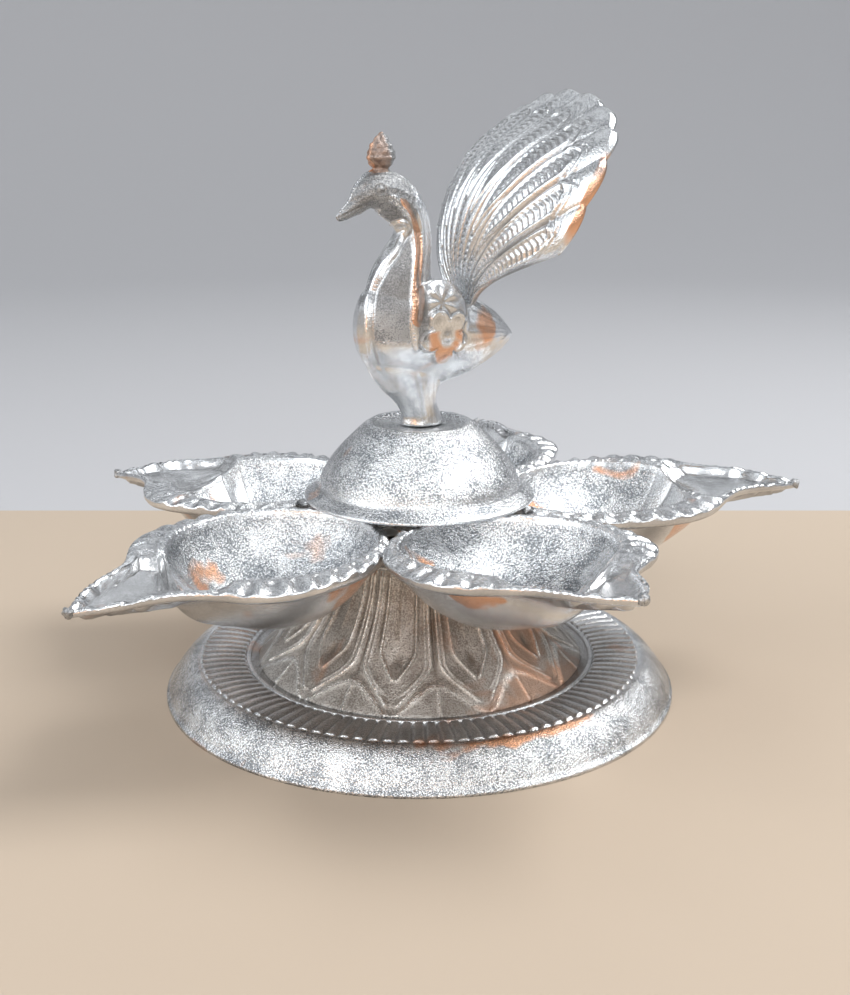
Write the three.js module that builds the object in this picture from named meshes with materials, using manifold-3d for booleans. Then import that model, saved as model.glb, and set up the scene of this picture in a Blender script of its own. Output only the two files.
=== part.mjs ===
// A five-wick oil lamp in plated white metal, standing on a table: a pressed foot with a fluted
// band, a petalled stem, a hub that carries five leaf-shaped cups, a domed cover over their
// heels, and a peacock whose threaded stud draws the cover down through the middle.
// Millimetres, Z up. The Z axis is the foot's axis, and the table is at Z = 0.
import * as THREE from "three";
import { mergeVertices } from "three/addons/utils/BufferGeometryUtils.js";
import Module from "manifold-3d";

const wasm = await Module();
wasm.setup();

const degree = Math.PI / 180;
const seatGap = 0.3; // left between pieces that rest on or pass through each other
const sheet = 1.2; // wall of the pressed and cast shells
const finest = 0.06; // slivers thinner than this are smoothed away where solids were joined

// Foot: a domed flange, a fluted band, a bead and a seat for the stem, from the rim inwards
const footRadius = 65;
const rimFlat = 2.4;
const flangeWidth = 9;
const flangeHeight = 9;
const fluteWidth = 11.2;
const fluteRise = 0.4;
const fluteCount = 104;
const fluteDepth = 0.7;
const fluteStep = 1; // the band starts this far below the flange's top and ends this far below it
const beadWidth = 1.6;
const beadHeight = 0.8;
const seatDrop = 1.5;
const seatLedge = 7;

// Stem: a hollow trumpet with a ring of pressed petals and a flat top plate
const stemHeight = 28.7;
const stemTopRadius = 22;
const stemWall = 1.6;
const stemFlare = 1.75; // how sharply the trumpet opens towards the foot
const petalCount = 11;
const petalAngle = 260.5;
const petalRelief = 1.1;

// Hub: a turned disc between the stem and the heels of the cups
const hubOverhang = 1.4;
const hubThickness = 3.1;
const hubGroove = 0.7;

// Cups: round bowls with a corded rim, shoulders and a pouring lip, and a heel at the back
const cupCount = 5;
const firstCupAngle = 7.4;
const cupGap = 0.5;
const bowlRadius = 24;
const bowlDepth = 16;
const bowlFullness = 2.6;
const underFullness = 1.6; // the casting is thicker under the rim, except at the back
const backFlange = 3;
const sideFlange = 4.7;
const shoulderFlange = 8.6;
const lipLength = 28.7;
const lipRootWidth = 22.4;
const lipDip = 4.6;
const lipArch = 0.8; // the lip rises a little between the shoulders and the tip
const lipEdgeRise = 0.9; // the lip is a channel between two raised edges
const tipBeadRadius = 1.5; // rough bead left on the tip by the casting
const cordHeight = 1.8;
const rimAboveHeel = 6.8;
const cupTilts = [3.3, 1.8, -0.8, -1.4, 3.3]; // one rivet holds each cup, so each sits its own way
const lipBends = [-3, -3, -3.2, -1.2, 2.4]; // and each tip is bent up or down by hand
const heelThickness = 1.4;
const heelMargin = 1.6;

// Rivets through heel, hub and stem
const rivetRadius = 1.5;
const rivetHeadRadius = 2.7;
const rivetHeadHeight = 1.2;
const roundSides = 12; // facets of a rivet, its hole and other small round parts

// Domed cover
const brimRadius = 28.9;
const brimWidth = 3.7;
const brimDrop = 2.1;
const brimThickness = 0.8;
const domeHeight = 17.9;
const domeTopRadius = 12.9;
const domeLip = 0.8;
const domeLipWidth = 1.2;

// Stud, washer and nut
const studRadius = 2;
const studInBird = 7;
const studPastNut = 3;
const washerRadius = 4.5;
const washerThickness = 0.8;
const nutAcrossFlats = 7;
const nutThickness = 3.2;

// Peacock: it looks along birdAngle. Stations run along its length, forward from the stud, and
// heights are above its foot.
const birdAngle = 210;
const bodyStations = [
  { at: -27.1, top: 20.2, bottom: 20.0, half: 0.15 },
  { at: -25.4, top: 22.4, bottom: 17.9, half: 1.5 },
  { at: -21.5, top: 26.3, bottom: 15.1, half: 3.6 },
  { at: -16.5, top: 29.5, bottom: 12.6, half: 5.9 },
  { at: -10.5, top: 32.4, bottom: 10.6, half: 7.8 },
  { at: -4.0, top: 35.3, bottom: 9.4, half: 8.9 },
  { at: 3.0, top: 37.2, bottom: 9.2, half: 8.9 },
  { at: 9.0, top: 37.6, bottom: 11.0, half: 7.7 },
  { at: 13.5, top: 34.3, bottom: 14.6, half: 5.6 },
  { at: 16.2, top: 30.2, bottom: 18.6, half: 3.0 },
  { at: 17.3, top: 25.0, bottom: 24.6, half: 0.15 },
];
const neckStations = [
  { at: 5.6, height: 29.5, deep: 9.6, half: 6.9 },
  { at: 4.9, height: 34.6, deep: 8.4, half: 6.3 },
  { at: 3.7, height: 39.2, deep: 6.9, half: 5.3 },
  { at: 2.1, height: 43.6, deep: 5.4, half: 4.3 },
  { at: 1.8, height: 47.0, deep: 4.7, half: 3.8 },
  { at: 2.9, height: 50.4, deep: 4.9, half: 3.9 },
  { at: 6.0, height: 54.0, deep: 5.4, half: 4.3 },
  { at: 10.4, height: 56.4, deep: 5.1, half: 4.6 },
  { at: 14.2, height: 55.6, deep: 3.8, half: 3.6 },
  { at: 17.2, height: 53.0, deep: 2.0, half: 1.8 },
  { at: 19.8, height: 51.3, deep: 1.1, half: 1.0 },
  { at: 21.8, height: 50.2, deep: 0.35, half: 0.35 },
];
const legStations = [
  { height: 0, at: -0.6, deep: 5.8, half: 5.1 },
  { height: 1.2, at: -0.6, deep: 5.4, half: 4.8 },
  { height: 2.8, at: -0.2, deep: 5.1, half: 4.5 },
  { height: 6, at: 1.2, deep: 5.7, half: 4.6 },
  { height: 10, at: 2.7, deep: 8.5, half: 5.4 },
  { height: 15, at: 3.4, deep: 12.2, half: 6.4 },
];
const keel = 1.2; // above 1 pinches the body towards its casting seam
const wingLength = 17.5;
const wingHeight = 20.5;
const wingRelief = 1.1;
const wingAt = -1;
const wingAbove = 25.8;
const crestAt = 10.1;
const crestBase = 58.5;
const crestHeight = 11.3;
const crestRadius = 3.5;

// Tail fan: it rises from a root in the back, curls over backwards, and its sides curl back too
const featherCount = 11;
const fanRootBack = 13.5;
const fanRootHeight = 28.1;
const fanRootWidth = 3.4;
const fanLength = 63.2;
const fanSpread = 63.6;
const fanOpening = 0.16; // the feathers open by this part more beyond the root
const fanRoll = 1.6;
const fanYaw = -8;
const fanLeanAtRoot = -20.5; // from upright, backwards
const fanLeanAtTip = 55.5;
const fanBendLength = 45.6;
const fanDish = -0.579;
const fanEdgeShortening = 0.412;
const fanThickness = 1.5;
const fanScallop = 1.1;
const featherCrown = 0.7;
const tangLength = 4;
const tangWidth = 6;
const tangThickness = 1.2;

// Facets
const latheSides = 32;

// Heights that follow from the sizes above
const seatHeight = flangeHeight - seatDrop;
const stemBase = seatHeight + seatGap;
const stemTop = stemBase + stemHeight;
const hubBase = stemTop + seatGap;
const hubTop = hubBase + hubThickness;
const heelBase = hubTop + seatGap;
const heelTop = heelBase + heelThickness;
const rimHeight = heelBase + rimAboveHeel;
const washerTop = stemTop - stemWall - seatGap;
const nutTop = washerTop - washerThickness - seatGap;
const nutBase = nutTop - nutThickness;

// Radii and distances that follow
const fluteOuter = footRadius - flangeWidth;
const fluteInner = fluteOuter - fluteWidth;
const seatRadius = fluteInner - beadWidth;
const sector = Math.PI / cupCount;
const bowlCentre = (bowlRadius + backFlange + cupGap / 2) / Math.sin(sector);
const heelHalf = rivetHeadRadius + heelMargin;
const rivetCircle = heelHalf + heelHalf / Math.tan(sector) + cupGap;
const brimLift = (brimRadius - rivetCircle) * Math.tan(Math.max(...cupTilts) * degree);
const brimBase = rimHeight + cordHeight + brimLift + seatGap;
const domeTop = brimBase + domeHeight;
const birdBase = domeTop + seatGap;
const studHole = studRadius + seatGap;
const rivetHole = rivetRadius + seatGap;

const smooth = (x) => {
  const t = Math.min(1, Math.max(0, x));
  return t * t * (3 - 2 * t);
};

// Joins two rings of points with a strip of triangles, also where their counts differ.
function zipRings(faces, first, second, closed = true) {
  const firstSteps = closed ? first.length : first.length - 1;
  const secondSteps = closed ? second.length : second.length - 1;
  let i = 0;
  let j = 0;
  while (i < firstSteps || j < secondSteps) {
    const a = first[i % first.length];
    const b = second[j % second.length];
    const firstIsNext = (i + 1) / firstSteps <= (j + 1) / secondSteps;
    if (j >= secondSteps || (i < firstSteps && firstIsNext)) {
      i += 1;
      faces.push(a, first[i % first.length], b);
    } else {
      j += 1;
      faces.push(a, second[j % second.length], b);
    }
  }
}

// Joins two closed rings. Where their counts agree, each four-sided gap is cut along its
// shorter diagonal, so that the two sides of a thin wall are cut alike.
function joinRings(faces, first, second, apart) {
  const count = first.length;
  if (second.length !== count) {
    zipRings(faces, first, second);
    return;
  }
  for (let k = 0; k < count; k += 1) {
    const next = (k + 1) % count;
    const [a, b, c, d] = [first[k], first[next], second[next], second[k]];
    if (apart(b, d) <= apart(a, c)) {
      faces.push(a, b, d, d, b, c);
    } else {
      faces.push(a, b, c, c, d, a);
    }
  }
}

// A closed skin through a list of rings. The ends meet each other, or each is closed by a strip
// between the two halves of its ring.
function skin(rings, { looped = false } = {}) {
  const points = [];
  const faces = [];
  const numbered = rings.map((ring) =>
    ring.map((point) => {
      points.push(point.x, point.y, point.z);
      return points.length / 3 - 1;
    }),
  );
  const spotOf = (n) => new THREE.Vector3().fromArray(points, 3 * n);
  const apart = (n, m) => spotOf(n).distanceTo(spotOf(m));
  for (let k = 0; k + 1 < numbered.length; k += 1) {
    joinRings(faces, numbered[k], numbered[k + 1], apart);
  }
  if (looped) {
    joinRings(faces, numbered.at(-1), numbered[0], apart);
  } else {
    const closeEnd = (ring) => {
      const half = Math.floor(ring.length / 2);
      zipRings(faces, ring.slice(0, half), ring.slice(half).reverse(), false);
    };
    closeEnd([...numbered[0]].reverse());
    closeEnd(numbered.at(-1));
  }
  const geometry = new THREE.BufferGeometry();
  geometry.setAttribute("position", new THREE.Float32BufferAttribute(points, 3));
  geometry.setIndex(faces);
  return geometry;
}

// Welded solid of a closed geometry, turned right side out where it comes inside out.
function toSolid(geometry) {
  const bare = geometry.clone();
  bare.deleteAttribute("normal");
  bare.deleteAttribute("uv");
  const welded = mergeVertices(bare, 1e-4);
  const corners = welded.index.array;
  const spots = welded.attributes.position.array;
  const kept = [];
  for (let k = 0; k < corners.length; k += 3) {
    const [a, b, c] = [corners[k], corners[k + 1], corners[k + 2]];
    if (a !== b && b !== c && c !== a) {
      kept.push(a, b, c);
    }
  }
  let volume = 0;
  const corner = (n) => new THREE.Vector3().fromArray(spots, 3 * n);
  for (let k = 0; k < kept.length; k += 3) {
    volume += corner(kept[k]).dot(corner(kept[k + 1]).cross(corner(kept[k + 2])));
  }
  if (volume < 0) {
    kept.reverse();
  }
  const triVerts = new Uint32Array(kept);
  const vertProperties = new Float32Array(spots);
  return new wasm.Manifold(new wasm.Mesh({ numProp: 3, vertProperties, triVerts }));
}

function toGeometry(solid) {
  const { vertProperties, triVerts } = solid.simplify(finest).getMesh();
  const geometry = new THREE.BufferGeometry();
  geometry.setAttribute("position", new THREE.BufferAttribute(vertProperties, 3));
  geometry.setIndex(new THREE.BufferAttribute(triVerts, 1));
  geometry.computeVertexNormals();
  return geometry;
}

// Turned solid from a closed profile of [radius, height] pairs.
function turned(profile, sides = latheSides) {
  const closed = [...profile, profile[0]];
  const points = closed.map(([r, z]) => new THREE.Vector2(r, z));
  const geometry = new THREE.LatheGeometry(points, sides);
  geometry.rotateX(Math.PI / 2);
  return toSolid(geometry);
}

// Round rod along Z between two heights, at a place in the plan.
function rod(radius, low, high, x = 0, y = 0) {
  const geometry = new THREE.CylinderGeometry(radius, radius, high - low, roundSides);
  geometry.rotateX(Math.PI / 2);
  geometry.translate(x, y, (low + high) / 2);
  return toSolid(geometry);
}

// Smooth reading of a list of stations at a fraction of its length, key by key.
function readStations(stations, keys, count) {
  const curves = keys.map((key) => {
    const spots = stations.map((station, k) => new THREE.Vector3(k, station[key], 0));
    return new THREE.CatmullRomCurve3(spots, false, "catmullrom", 0.5);
  });
  return Array.from({ length: count + 1 }, (_, k) => {
    const read = {};
    keys.forEach((key, n) => {
      read[key] = curves[n].getPoint(k / count).y;
    });
    return read;
  });
}

// Height of the flange's outside across its width, 0 at the rim and 1 at the band.
const flangeRise = (x) => flangeHeight * Math.sin((Math.PI / 2) * x) ** 0.85;

// Height of the fluted band across its width, 0 at its outer edge and 1 at its inner edge.
const bandHeight = (x) => flangeHeight + fluteRise * Math.sin(Math.PI * x) - 0.4 * fluteStep * x;

// A level ring of points about the Z axis.
function levelRing(radius, height, sides, turn = 0) {
  return Array.from({ length: sides }, (_, k) => {
    const angle = turn + (2 * Math.PI * k) / sides;
    return new THREE.Vector3(radius * Math.cos(angle), radius * Math.sin(angle), height);
  });
}

// Pressed foot: the flange, the band of ribs, the bead and the ledge that the stem stands on.
function makeFoot() {
  const ring = (radius, height) => levelRing(radius, height, fluteCount / 2);
  const flange = (x) => ring(footRadius - flangeWidth * x, flangeRise(x));
  const underFlange = (x) => {
    const inner = (flangeWidth - rimFlat) * x;
    return ring(footRadius - rimFlat - inner, flangeRise(x) - sheet);
  };
  const ribbed = (x) =>
    levelRing(fluteOuter - fluteWidth * x, bandHeight(x), 2 * fluteCount).map((point, k) => {
      point.z -= k % 2 ? fluteDepth : 0;
      return point;
    });
  const underBand = (x) =>
    ring(fluteOuter - fluteWidth * x, bandHeight(x) - fluteDepth - sheet);
  const beadBase = flangeHeight - fluteStep;
  const beadCentre = fluteInner - beadWidth / 2;
  const inside = seatRadius - seatLedge;
  const rings = [
    ring(footRadius, 0),
    ring(footRadius, sheet),
    ...[0.2, 0.5, 0.97].map(flange),
    ...[0.05, 0.93].map(ribbed),
    ring(fluteInner, beadBase),
    ring(beadCentre + beadWidth / 5, beadBase + beadHeight),
    ring(beadCentre - beadWidth / 5, beadBase + beadHeight),
    ring(seatRadius, beadBase),
    ring(seatRadius, seatHeight),
    ring(inside, seatHeight),
    ring(inside, seatHeight - sheet),
    ring(seatRadius + sheet, seatHeight - sheet),
    ...[0.9, 0.1].map(underBand),
    underFlange(0.5),
    ring(footRadius - rimFlat, 0),
  ];
  return toSolid(skin(rings, { looped: true }));
}

// Half width of a petal at a height, as a part of half the pitch: pointed below, full above.
const petalWidth = (t) => 0.1 + 0.84 * smooth((t - 0.06) / 0.4) ** 0.7;

// Trumpet profile of the stem at a part of its height.
const stemRadius = (t) => {
  const base = seatRadius - seatGap - petalRelief;
  return stemTopRadius + (base - stemTopRadius) * (1 - t) ** stemFlare;
};

// Petalled stem: across each petal run its edge ribs, its hollows and its midrib.
function makeStem() {
  const across = [-1, -0.82, -0.45, 0, 0.45, 0.82, 1];
  const relief = [0, 1, 0.35, 0.75, 0.35, 1, 0];
  const petalRow = (t) => {
    const height = stemBase + stemHeight * t;
    const fade = petalRelief * smooth((t - 0.04) / 0.08) * smooth((1 - t) / 0.06);
    const row = [];
    for (let petal = 0; petal < petalCount; petal += 1) {
      const middle = petalAngle * degree + (2 * Math.PI * petal) / petalCount;
      const spots = across.map((x, n) => [x * petalWidth(t), relief[n]]);
      spots.push([1, 0.25 * smooth((0.45 - t) / 0.2)]);
      for (const [x, rise] of spots) {
        const angle = middle + (x * Math.PI) / petalCount;
        const radius = stemRadius(t) + fade * rise;
        row.push(new THREE.Vector3(radius * Math.cos(angle), radius * Math.sin(angle), height));
      }
    }
    return row;
  };
  const plain = (radius, height) =>
    levelRing(radius, height, 3 * petalCount, petalAngle * degree - Math.PI / petalCount);
  const inside = (t) => plain(stemRadius(t) - stemWall, stemBase + (stemHeight - stemWall) * t);
  const rings = [
    ...[0, 0.05, 0.12, 0.2, 0.3, 0.42, 0.58, 0.76, 0.95, 1].map(petalRow),
    plain(studHole, stemTop),
    plain(studHole, stemTop - stemWall),
    ...[1, 0.66, 0.36, 0.15, 0].map(inside),
  ];
  return drillRivets(toSolid(skin(rings, { looped: true })));
}

const cupAngle = (n) => firstCupAngle * degree + 2 * sector * n;

// Cuts the five rivet holes through a piece that is centred on the axis.
function drillRivets(solid) {
  let drilled = solid;
  for (let n = 0; n < cupCount; n += 1) {
    const x = rivetCircle * Math.cos(cupAngle(n));
    const y = rivetCircle * Math.sin(cupAngle(n));
    drilled = drilled.subtract(rod(rivetHole, stemTop - 2 * stemWall, rimHeight, x, y));
  }
  return drilled;
}

// Hub: a disc with a groove turned round its edge.
function makeHub() {
  const radius = stemTopRadius + hubOverhang;
  const third = hubThickness / 3;
  const profile = [
    [studHole, hubBase],
    [radius - hubGroove, hubBase],
    [radius, hubBase + 0.4 * third],
    [radius, hubBase + third],
    [radius - hubGroove, hubBase + 1.3 * third],
    [radius - hubGroove, hubBase + 1.7 * third],
    [radius, hubBase + 2 * third],
    [radius, hubBase + 2.6 * third],
    [radius - hubGroove, hubTop],
    [studHole, hubTop],
  ];
  return drillRivets(turned(profile, 30));
}

// Outline of a cup, as its distance from the bowl's centre in a direction, 0 towards the tip.
const outlineSpots = [
  [180, bowlRadius + backFlange],
  [126, bowlRadius + backFlange],
  [104, bowlRadius + 0.3 * backFlange + 0.7 * sideFlange],
  [84, bowlRadius + sideFlange + 0.2 * (shoulderFlange - sideFlange)],
  [60, bowlRadius + shoulderFlange],
  [38, bowlRadius + shoulderFlange],
];

// The lip beyond the shoulders is a pair of hollow curves that meet at the tip.
function lipEdge() {
  const shoulder = bowlRadius + shoulderFlange;
  const start = new THREE.Vector2(shoulder * Math.cos(33 * degree), shoulder * Math.sin(33 * degree));
  const root = new THREE.Vector2(bowlRadius + 0.3 * lipLength, lipRootWidth / 2 + 1);
  const middle = new THREE.Vector2(bowlRadius + 0.72 * lipLength, lipRootWidth * 0.29);
  const tip = new THREE.Vector2(bowlRadius + lipLength, 0.6);
  return new THREE.SplineCurve([start, root, middle, tip]);
}

// Columns of a cup's skin: one half from tip to back, as [direction, distance] pairs.
function outlineColumns(lipSteps, rimSteps) {
  const lip = lipEdge().getPoints(lipSteps).reverse();
  const half = lip.map((point) => [Math.atan2(point.y, point.x), point.length()]);
  const rimCurve = new THREE.SplineCurve(
    [...outlineSpots].reverse().map(([angle, far]) => new THREE.Vector2(angle * degree, far)),
  );
  for (const spot of rimCurve.getPoints(rimSteps)) {
    half.push([spot.x, spot.y]);
  }
  const other = half.slice(0, -1).map(([angle, far]) => [-angle, far]).reverse();
  return [...half, ...other];
}

// Depth of the bowl below the rim at a part of its radius, and the steepness there.
const bowlDrop = (x) => bowlDepth * Math.max(0, 1 - x ** bowlFullness) ** 0.9;
const bowlSlope = (x) => (bowlDrop(x - 0.02) - bowlDrop(x)) / (0.02 * bowlRadius);

// How far the pouring lip dips below the rim at the bowl's edge, by direction.
const dipAt = (angle) => lipDip * Math.exp(-((angle / (24 * degree)) ** 2));

// Heel: the tab at the back that the rivet holds down on the hub.
function makeHeel() {
  const drop = (rimAboveHeel - heelThickness - 0.5) / bowlDepth;
  const reach = bowlRadius * (1 - drop ** (1 / 0.9)) ** (1 / bowlFullness);
  const end = bowlCentre - reach;
  const outline = new THREE.Shape();
  outline.moveTo(end, -heelHalf);
  outline.lineTo(end, heelHalf);
  outline.lineTo(rivetCircle, heelHalf);
  outline.absarc(rivetCircle, 0, heelHalf, 90 * degree, 270 * degree, false);
  const hole = new THREE.Path().absarc(rivetCircle, 0, rivetHole, 0, 2 * Math.PI, false);
  outline.holes.push(hole);
  const geometry = new THREE.ExtrudeGeometry(outline, {
    depth: heelThickness,
    bevelEnabled: false,
    curveSegments: 6,
  });
  geometry.translate(0, 0, heelBase);
  return toSolid(geometry);
}

// Cup: the bowl's inside, the corded rim and the pouring lip over an underside one wall below.
// The bowl tilts up from its rivet, and the lip bends beyond the bowl.
function makeCup(tilt, bend) {
  const columns = outlineColumns(4, 9);
  const ringAt = (place) =>
    columns.map(([angle, far]) => {
      const [radius, height] = place(angle, far);
      const out = radius * Math.cos(angle);
      const lift = (bowlCentre + out - rivetCircle) * Math.tan(tilt * degree);
      const alongLip = Math.max(0, (out - bowlRadius) / lipLength);
      const bent = bend * alongLip ** 2 + lipArch * Math.sin(Math.PI * Math.min(1, alongLip));
      return new THREE.Vector3(bowlCentre + out, radius * Math.sin(angle), height + lift + bent);
    });
  const bowlRing = (x, below = 0) =>
    ringAt((angle) => {
      const dip = dipAt(angle) * smooth((x - 0.5) / 0.5);
      const wall = below * Math.min(2.4, Math.hypot(1, bowlSlope(x)));
      const full = below ? underFullness * smooth((150 - Math.abs(angle) / degree) / 60) : 0;
      return [bowlRadius * x + full * x, rimHeight - bowlDrop(x) - dip - wall];
    });
  const rimRing = (part, rise, below = 0) =>
    ringAt((angle, far) => {
      const radius = bowlRadius + (far - bowlRadius) * part;
      const beyondLip = smooth((Math.abs(angle) / degree - 24) / 12);
      const cord = rise * beyondLip + (below ? 0 : lipEdgeRise) * (1 - beyondLip) * smooth(3 * part - 2);
      return [radius, rimHeight + cord - dipAt(angle) * (1 - part) - below];
    });
  const rings = [
    ...[0.3, 0.6, 0.85].map((x) => bowlRing(x)),
    rimRing(0, 0),
    rimRing(0.3, cordHeight),
    rimRing(0.7, cordHeight),
    rimRing(1, 0.4 * cordHeight),
    rimRing(1, 0.4 * cordHeight, sheet),
    rimRing(0.3, 0, sheet),
    ...[0.93, 0.76, 0.5, 0.28].map((x) => bowlRing(x, sheet)),
  ];
  const tip = ringAt(() => [bowlRadius + lipLength, rimHeight])[0];
  const bead = new THREE.SphereGeometry(tipBeadRadius, roundSides, roundSides / 2);
  bead.translate(tip.x - tipBeadRadius / 3, tip.y, tip.z);
  return toSolid(skin(rings)).add(toSolid(bead)).add(makeHeel());
}

// Rivet: a domed head over the heel and a flat one under the stem's plate.
function makeRivet() {
  const low = stemTop - stemWall - seatGap;
  const high = heelTop + seatGap;
  const headEdge = rivetHeadRadius * 0.8;
  const profile = [
    [0, low - rivetHeadHeight],
    [headEdge, low - rivetHeadHeight],
    [headEdge, low],
    [rivetRadius, low],
    [rivetRadius, high],
    [rivetHeadRadius, high],
    [headEdge, high + 0.7 * rivetHeadHeight],
    [0, high + rivetHeadHeight],
  ];
  const points = profile.map(([r, z]) => new THREE.Vector2(r, z));
  const geometry = new THREE.LatheGeometry(points, roundSides);
  geometry.rotateX(Math.PI / 2);
  geometry.translate(rivetCircle, 0, 0);
  return toSolid(geometry);
}

// Radius of the dome's wall at a part of its height.
const domeRadius = (t) => {
  const foot = brimRadius - brimWidth;
  return domeTopRadius + (foot - domeTopRadius) * (1 - t ** 1.55);
};

// Domed cover: a brim that slopes down, a full wall, and a top plate sunk inside a low lip.
function makeDome() {
  const wallTop = domeTop + domeLip;
  const wallBase = brimBase + brimThickness + brimDrop;
  const inBase = brimBase + brimDrop;
  const inTop = domeTop - sheet;
  const steps = [0, 0.25, 0.5, 0.75, 1];
  const outside = steps.map((t) => [domeRadius(t), wallBase + (wallTop - wallBase) * t]);
  const inside = [0.75, 0.4, 0].map((t) => [domeRadius(t) - sheet, inBase + (inTop - inBase) * t]);
  const profile = [
    [brimRadius - 0.3, brimBase],
    [brimRadius, brimBase + 0.4 * brimThickness],
    [brimRadius - 0.1, brimBase + brimThickness],
    ...outside,
    [domeTopRadius - domeLipWidth, wallTop],
    [domeTopRadius - domeLipWidth - 0.4, domeTop],
    [studHole, domeTop],
    [studHole, inTop],
    [domeRadius(1) - sheet, inTop],
    ...inside,
  ];
  return turned(profile);
}

// Closed skin through oval sections. Each section says where its points lie.
function ovalLoft(sections, sides) {
  const rings = sections.map((section) =>
    Array.from({ length: sides }, (_, k) => {
      const angle = (2 * Math.PI * k) / sides;
      const wide = Math.sign(Math.cos(angle)) * Math.abs(Math.cos(angle)) ** keel;
      return section(wide, Math.sin(angle));
    }),
  );
  return toSolid(skin(rings));
}

function makeTorso() {
  const stations = readStations(bodyStations, ["at", "top", "bottom", "half"], 12);
  const sections = stations.map((station) => (wide, high) => {
    const middle = (station.top + station.bottom) / 2;
    const deep = (station.top - station.bottom) / 2;
    return new THREE.Vector3(station.at, station.half * wide, middle + deep * high);
  });
  return ovalLoft(sections, 16);
}

// Neck, head and beak follow one curve in the bird's middle plane.
function makeNeck() {
  const stations = readStations(neckStations, ["at", "height", "deep", "half"], 17);
  const sections = stations.map((station, k) => (wide, high) => {
    const before = stations[Math.max(0, k - 1)];
    const after = stations[Math.min(stations.length - 1, k + 1)];
    const along = new THREE.Vector2(after.at - before.at, after.height - before.height).normalize();
    const x = station.at + station.deep * high * along.y;
    const z = station.height - station.deep * high * along.x;
    return new THREE.Vector3(x, station.half * wide, z);
  });
  return ovalLoft(sections, 12);
}

function makeLeg() {
  const sections = legStations.map((station) => (wide, high) => {
    return new THREE.Vector3(station.at + station.deep * high, station.half * wide, station.height);
  });
  return ovalLoft(sections, 12);
}

function makeWing(side) {
  const geometry = new THREE.SphereGeometry(1, 12, 8);
  geometry.rotateX(Math.PI / 2);
  const half = Math.max(...bodyStations.map((station) => station.half));
  const thick = 2 * wingRelief;
  geometry.scale(wingLength / 2, thick + 1, wingHeight / 2);
  geometry.translate(wingAt, side * (half - thick + wingRelief - 1), wingAbove);
  return toSolid(geometry);
}

function makeCrest() {
  const profile = [
    [0, 0],
    [0.62 * crestRadius, 0],
    [0.52 * crestRadius, 0.2 * crestHeight],
    [0.95 * crestRadius, 0.38 * crestHeight],
    [crestRadius, 0.52 * crestHeight],
    [0.72 * crestRadius, 0.74 * crestHeight],
    [0.36 * crestRadius, 0.9 * crestHeight],
    [0, crestHeight],
  ];
  const points = profile.map(([r, z]) => new THREE.Vector2(r, z));
  const geometry = new THREE.LatheGeometry(points, roundSides);
  geometry.rotateX(Math.PI / 2);
  geometry.translate(crestAt, 0, crestBase);
  return toSolid(geometry);
}

// Block of the tail's tang, or of the slot in the back that takes it with its clearance.
function makeTang(clearance) {
  const long = tangLength + 2 * clearance;
  const size = [tangThickness + 2 * clearance, tangWidth + 2 * clearance, long];
  const geometry = new THREE.BoxGeometry(...size);
  geometry.translate(0, 0, -tangLength / 2 + (clearance ? 0 : 0.4));
  geometry.rotateX(fanRoll * degree);
  geometry.rotateY(-fanLeanAtRoot * degree);
  geometry.rotateZ(fanYaw * degree);
  geometry.translate(-fanRootBack, 0, fanRootHeight);
  return toSolid(geometry);
}

function makePeacock() {
  return makeTorso()
    .add(makeNeck())
    .add(makeLeg())
    .add(makeWing(1))
    .add(makeWing(-1))
    .add(makeCrest())
    .subtract(makeTang(seatGap))
    .subtract(makeFan([-0.015, 0.08, 0.16, 0.24, 0.32], seatGap))
    .subtract(rod(studHole, -seatGap, studInBird + seatGap));
}

// A place on the tail fan: out along a feather by a part of its length, in a direction across
// from -1 to 1, lifted off the fan's middle surface and moved sideways by a clearance. The
// surface bends over backwards up to fanBendLength and runs on straight.
function fanPlace(out, across, lift, clearance) {
  const scallop = fanScallop * Math.abs(Math.cos((Math.PI * featherCount * (across + 1)) / 2));
  const reach = fanLength * (1 - fanEdgeShortening * across ** 2) - scallop * smooth((out - 0.8) * 5);
  const opened = 1 - fanOpening * (1 - out) ** 2;
  const angle = (fanSpread * across * opened + fanRoll) * degree;
  const far = reach * out;
  const up = far * Math.cos(angle);
  const rootSide = across * (fanRootWidth * (1 - out) ** 2 + clearance);
  const side = far * Math.sin(angle) + rootSide;
  const leanRoot = fanLeanAtRoot * degree;
  const leanTip = fanLeanAtTip * degree;
  const bend = (leanTip - leanRoot) / fanBendLength;
  const lean = leanRoot + bend * Math.min(up, fanBendLength);
  const straight = Math.max(0, up - fanBendLength);
  const back = (Math.cos(leanRoot) - Math.cos(lean)) / bend + straight * Math.sin(leanTip);
  const rise = (Math.sin(lean) - Math.sin(leanRoot)) / bend + straight * Math.cos(leanTip);
  const dish = (fanDish * side * side) / fanLength;
  const place = new THREE.Vector3(dish - back + lift * Math.cos(lean), side, rise + lift * Math.sin(lean));
  place.applyAxisAngle(new THREE.Vector3(0, 0, 1), fanYaw * degree);
  return place.add(new THREE.Vector3(-fanRootBack, 0, fanRootHeight));
}

// Fan: each feather is crowned between the grooves that part it from its neighbours.
function makeFan(outs, clearance = 0) {
  const columns = 4 * featherCount;
  const half = fanThickness / 2 + clearance;
  const rings = outs.map((out) => {
    const crown = featherCrown * smooth(out / 0.25);
    const front = [];
    const rear = [];
    for (let k = 0; k <= columns; k += 1) {
      const across = (2 * k) / columns - 1;
      const lift = half + crown * Math.sin((Math.PI * (k % 4)) / 4);
      front.push(fanPlace(out, across, lift, clearance));
      rear.unshift(fanPlace(out, across, -half, clearance));
    }
    return [...front, ...rear];
  });
  return toSolid(skin(rings));
}

function makeTail() {
  return makeFan([0, 0.12, 0.26, 0.41, 0.56, 0.7, 0.82, 0.92, 1]).add(makeTang(0));
}

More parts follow.
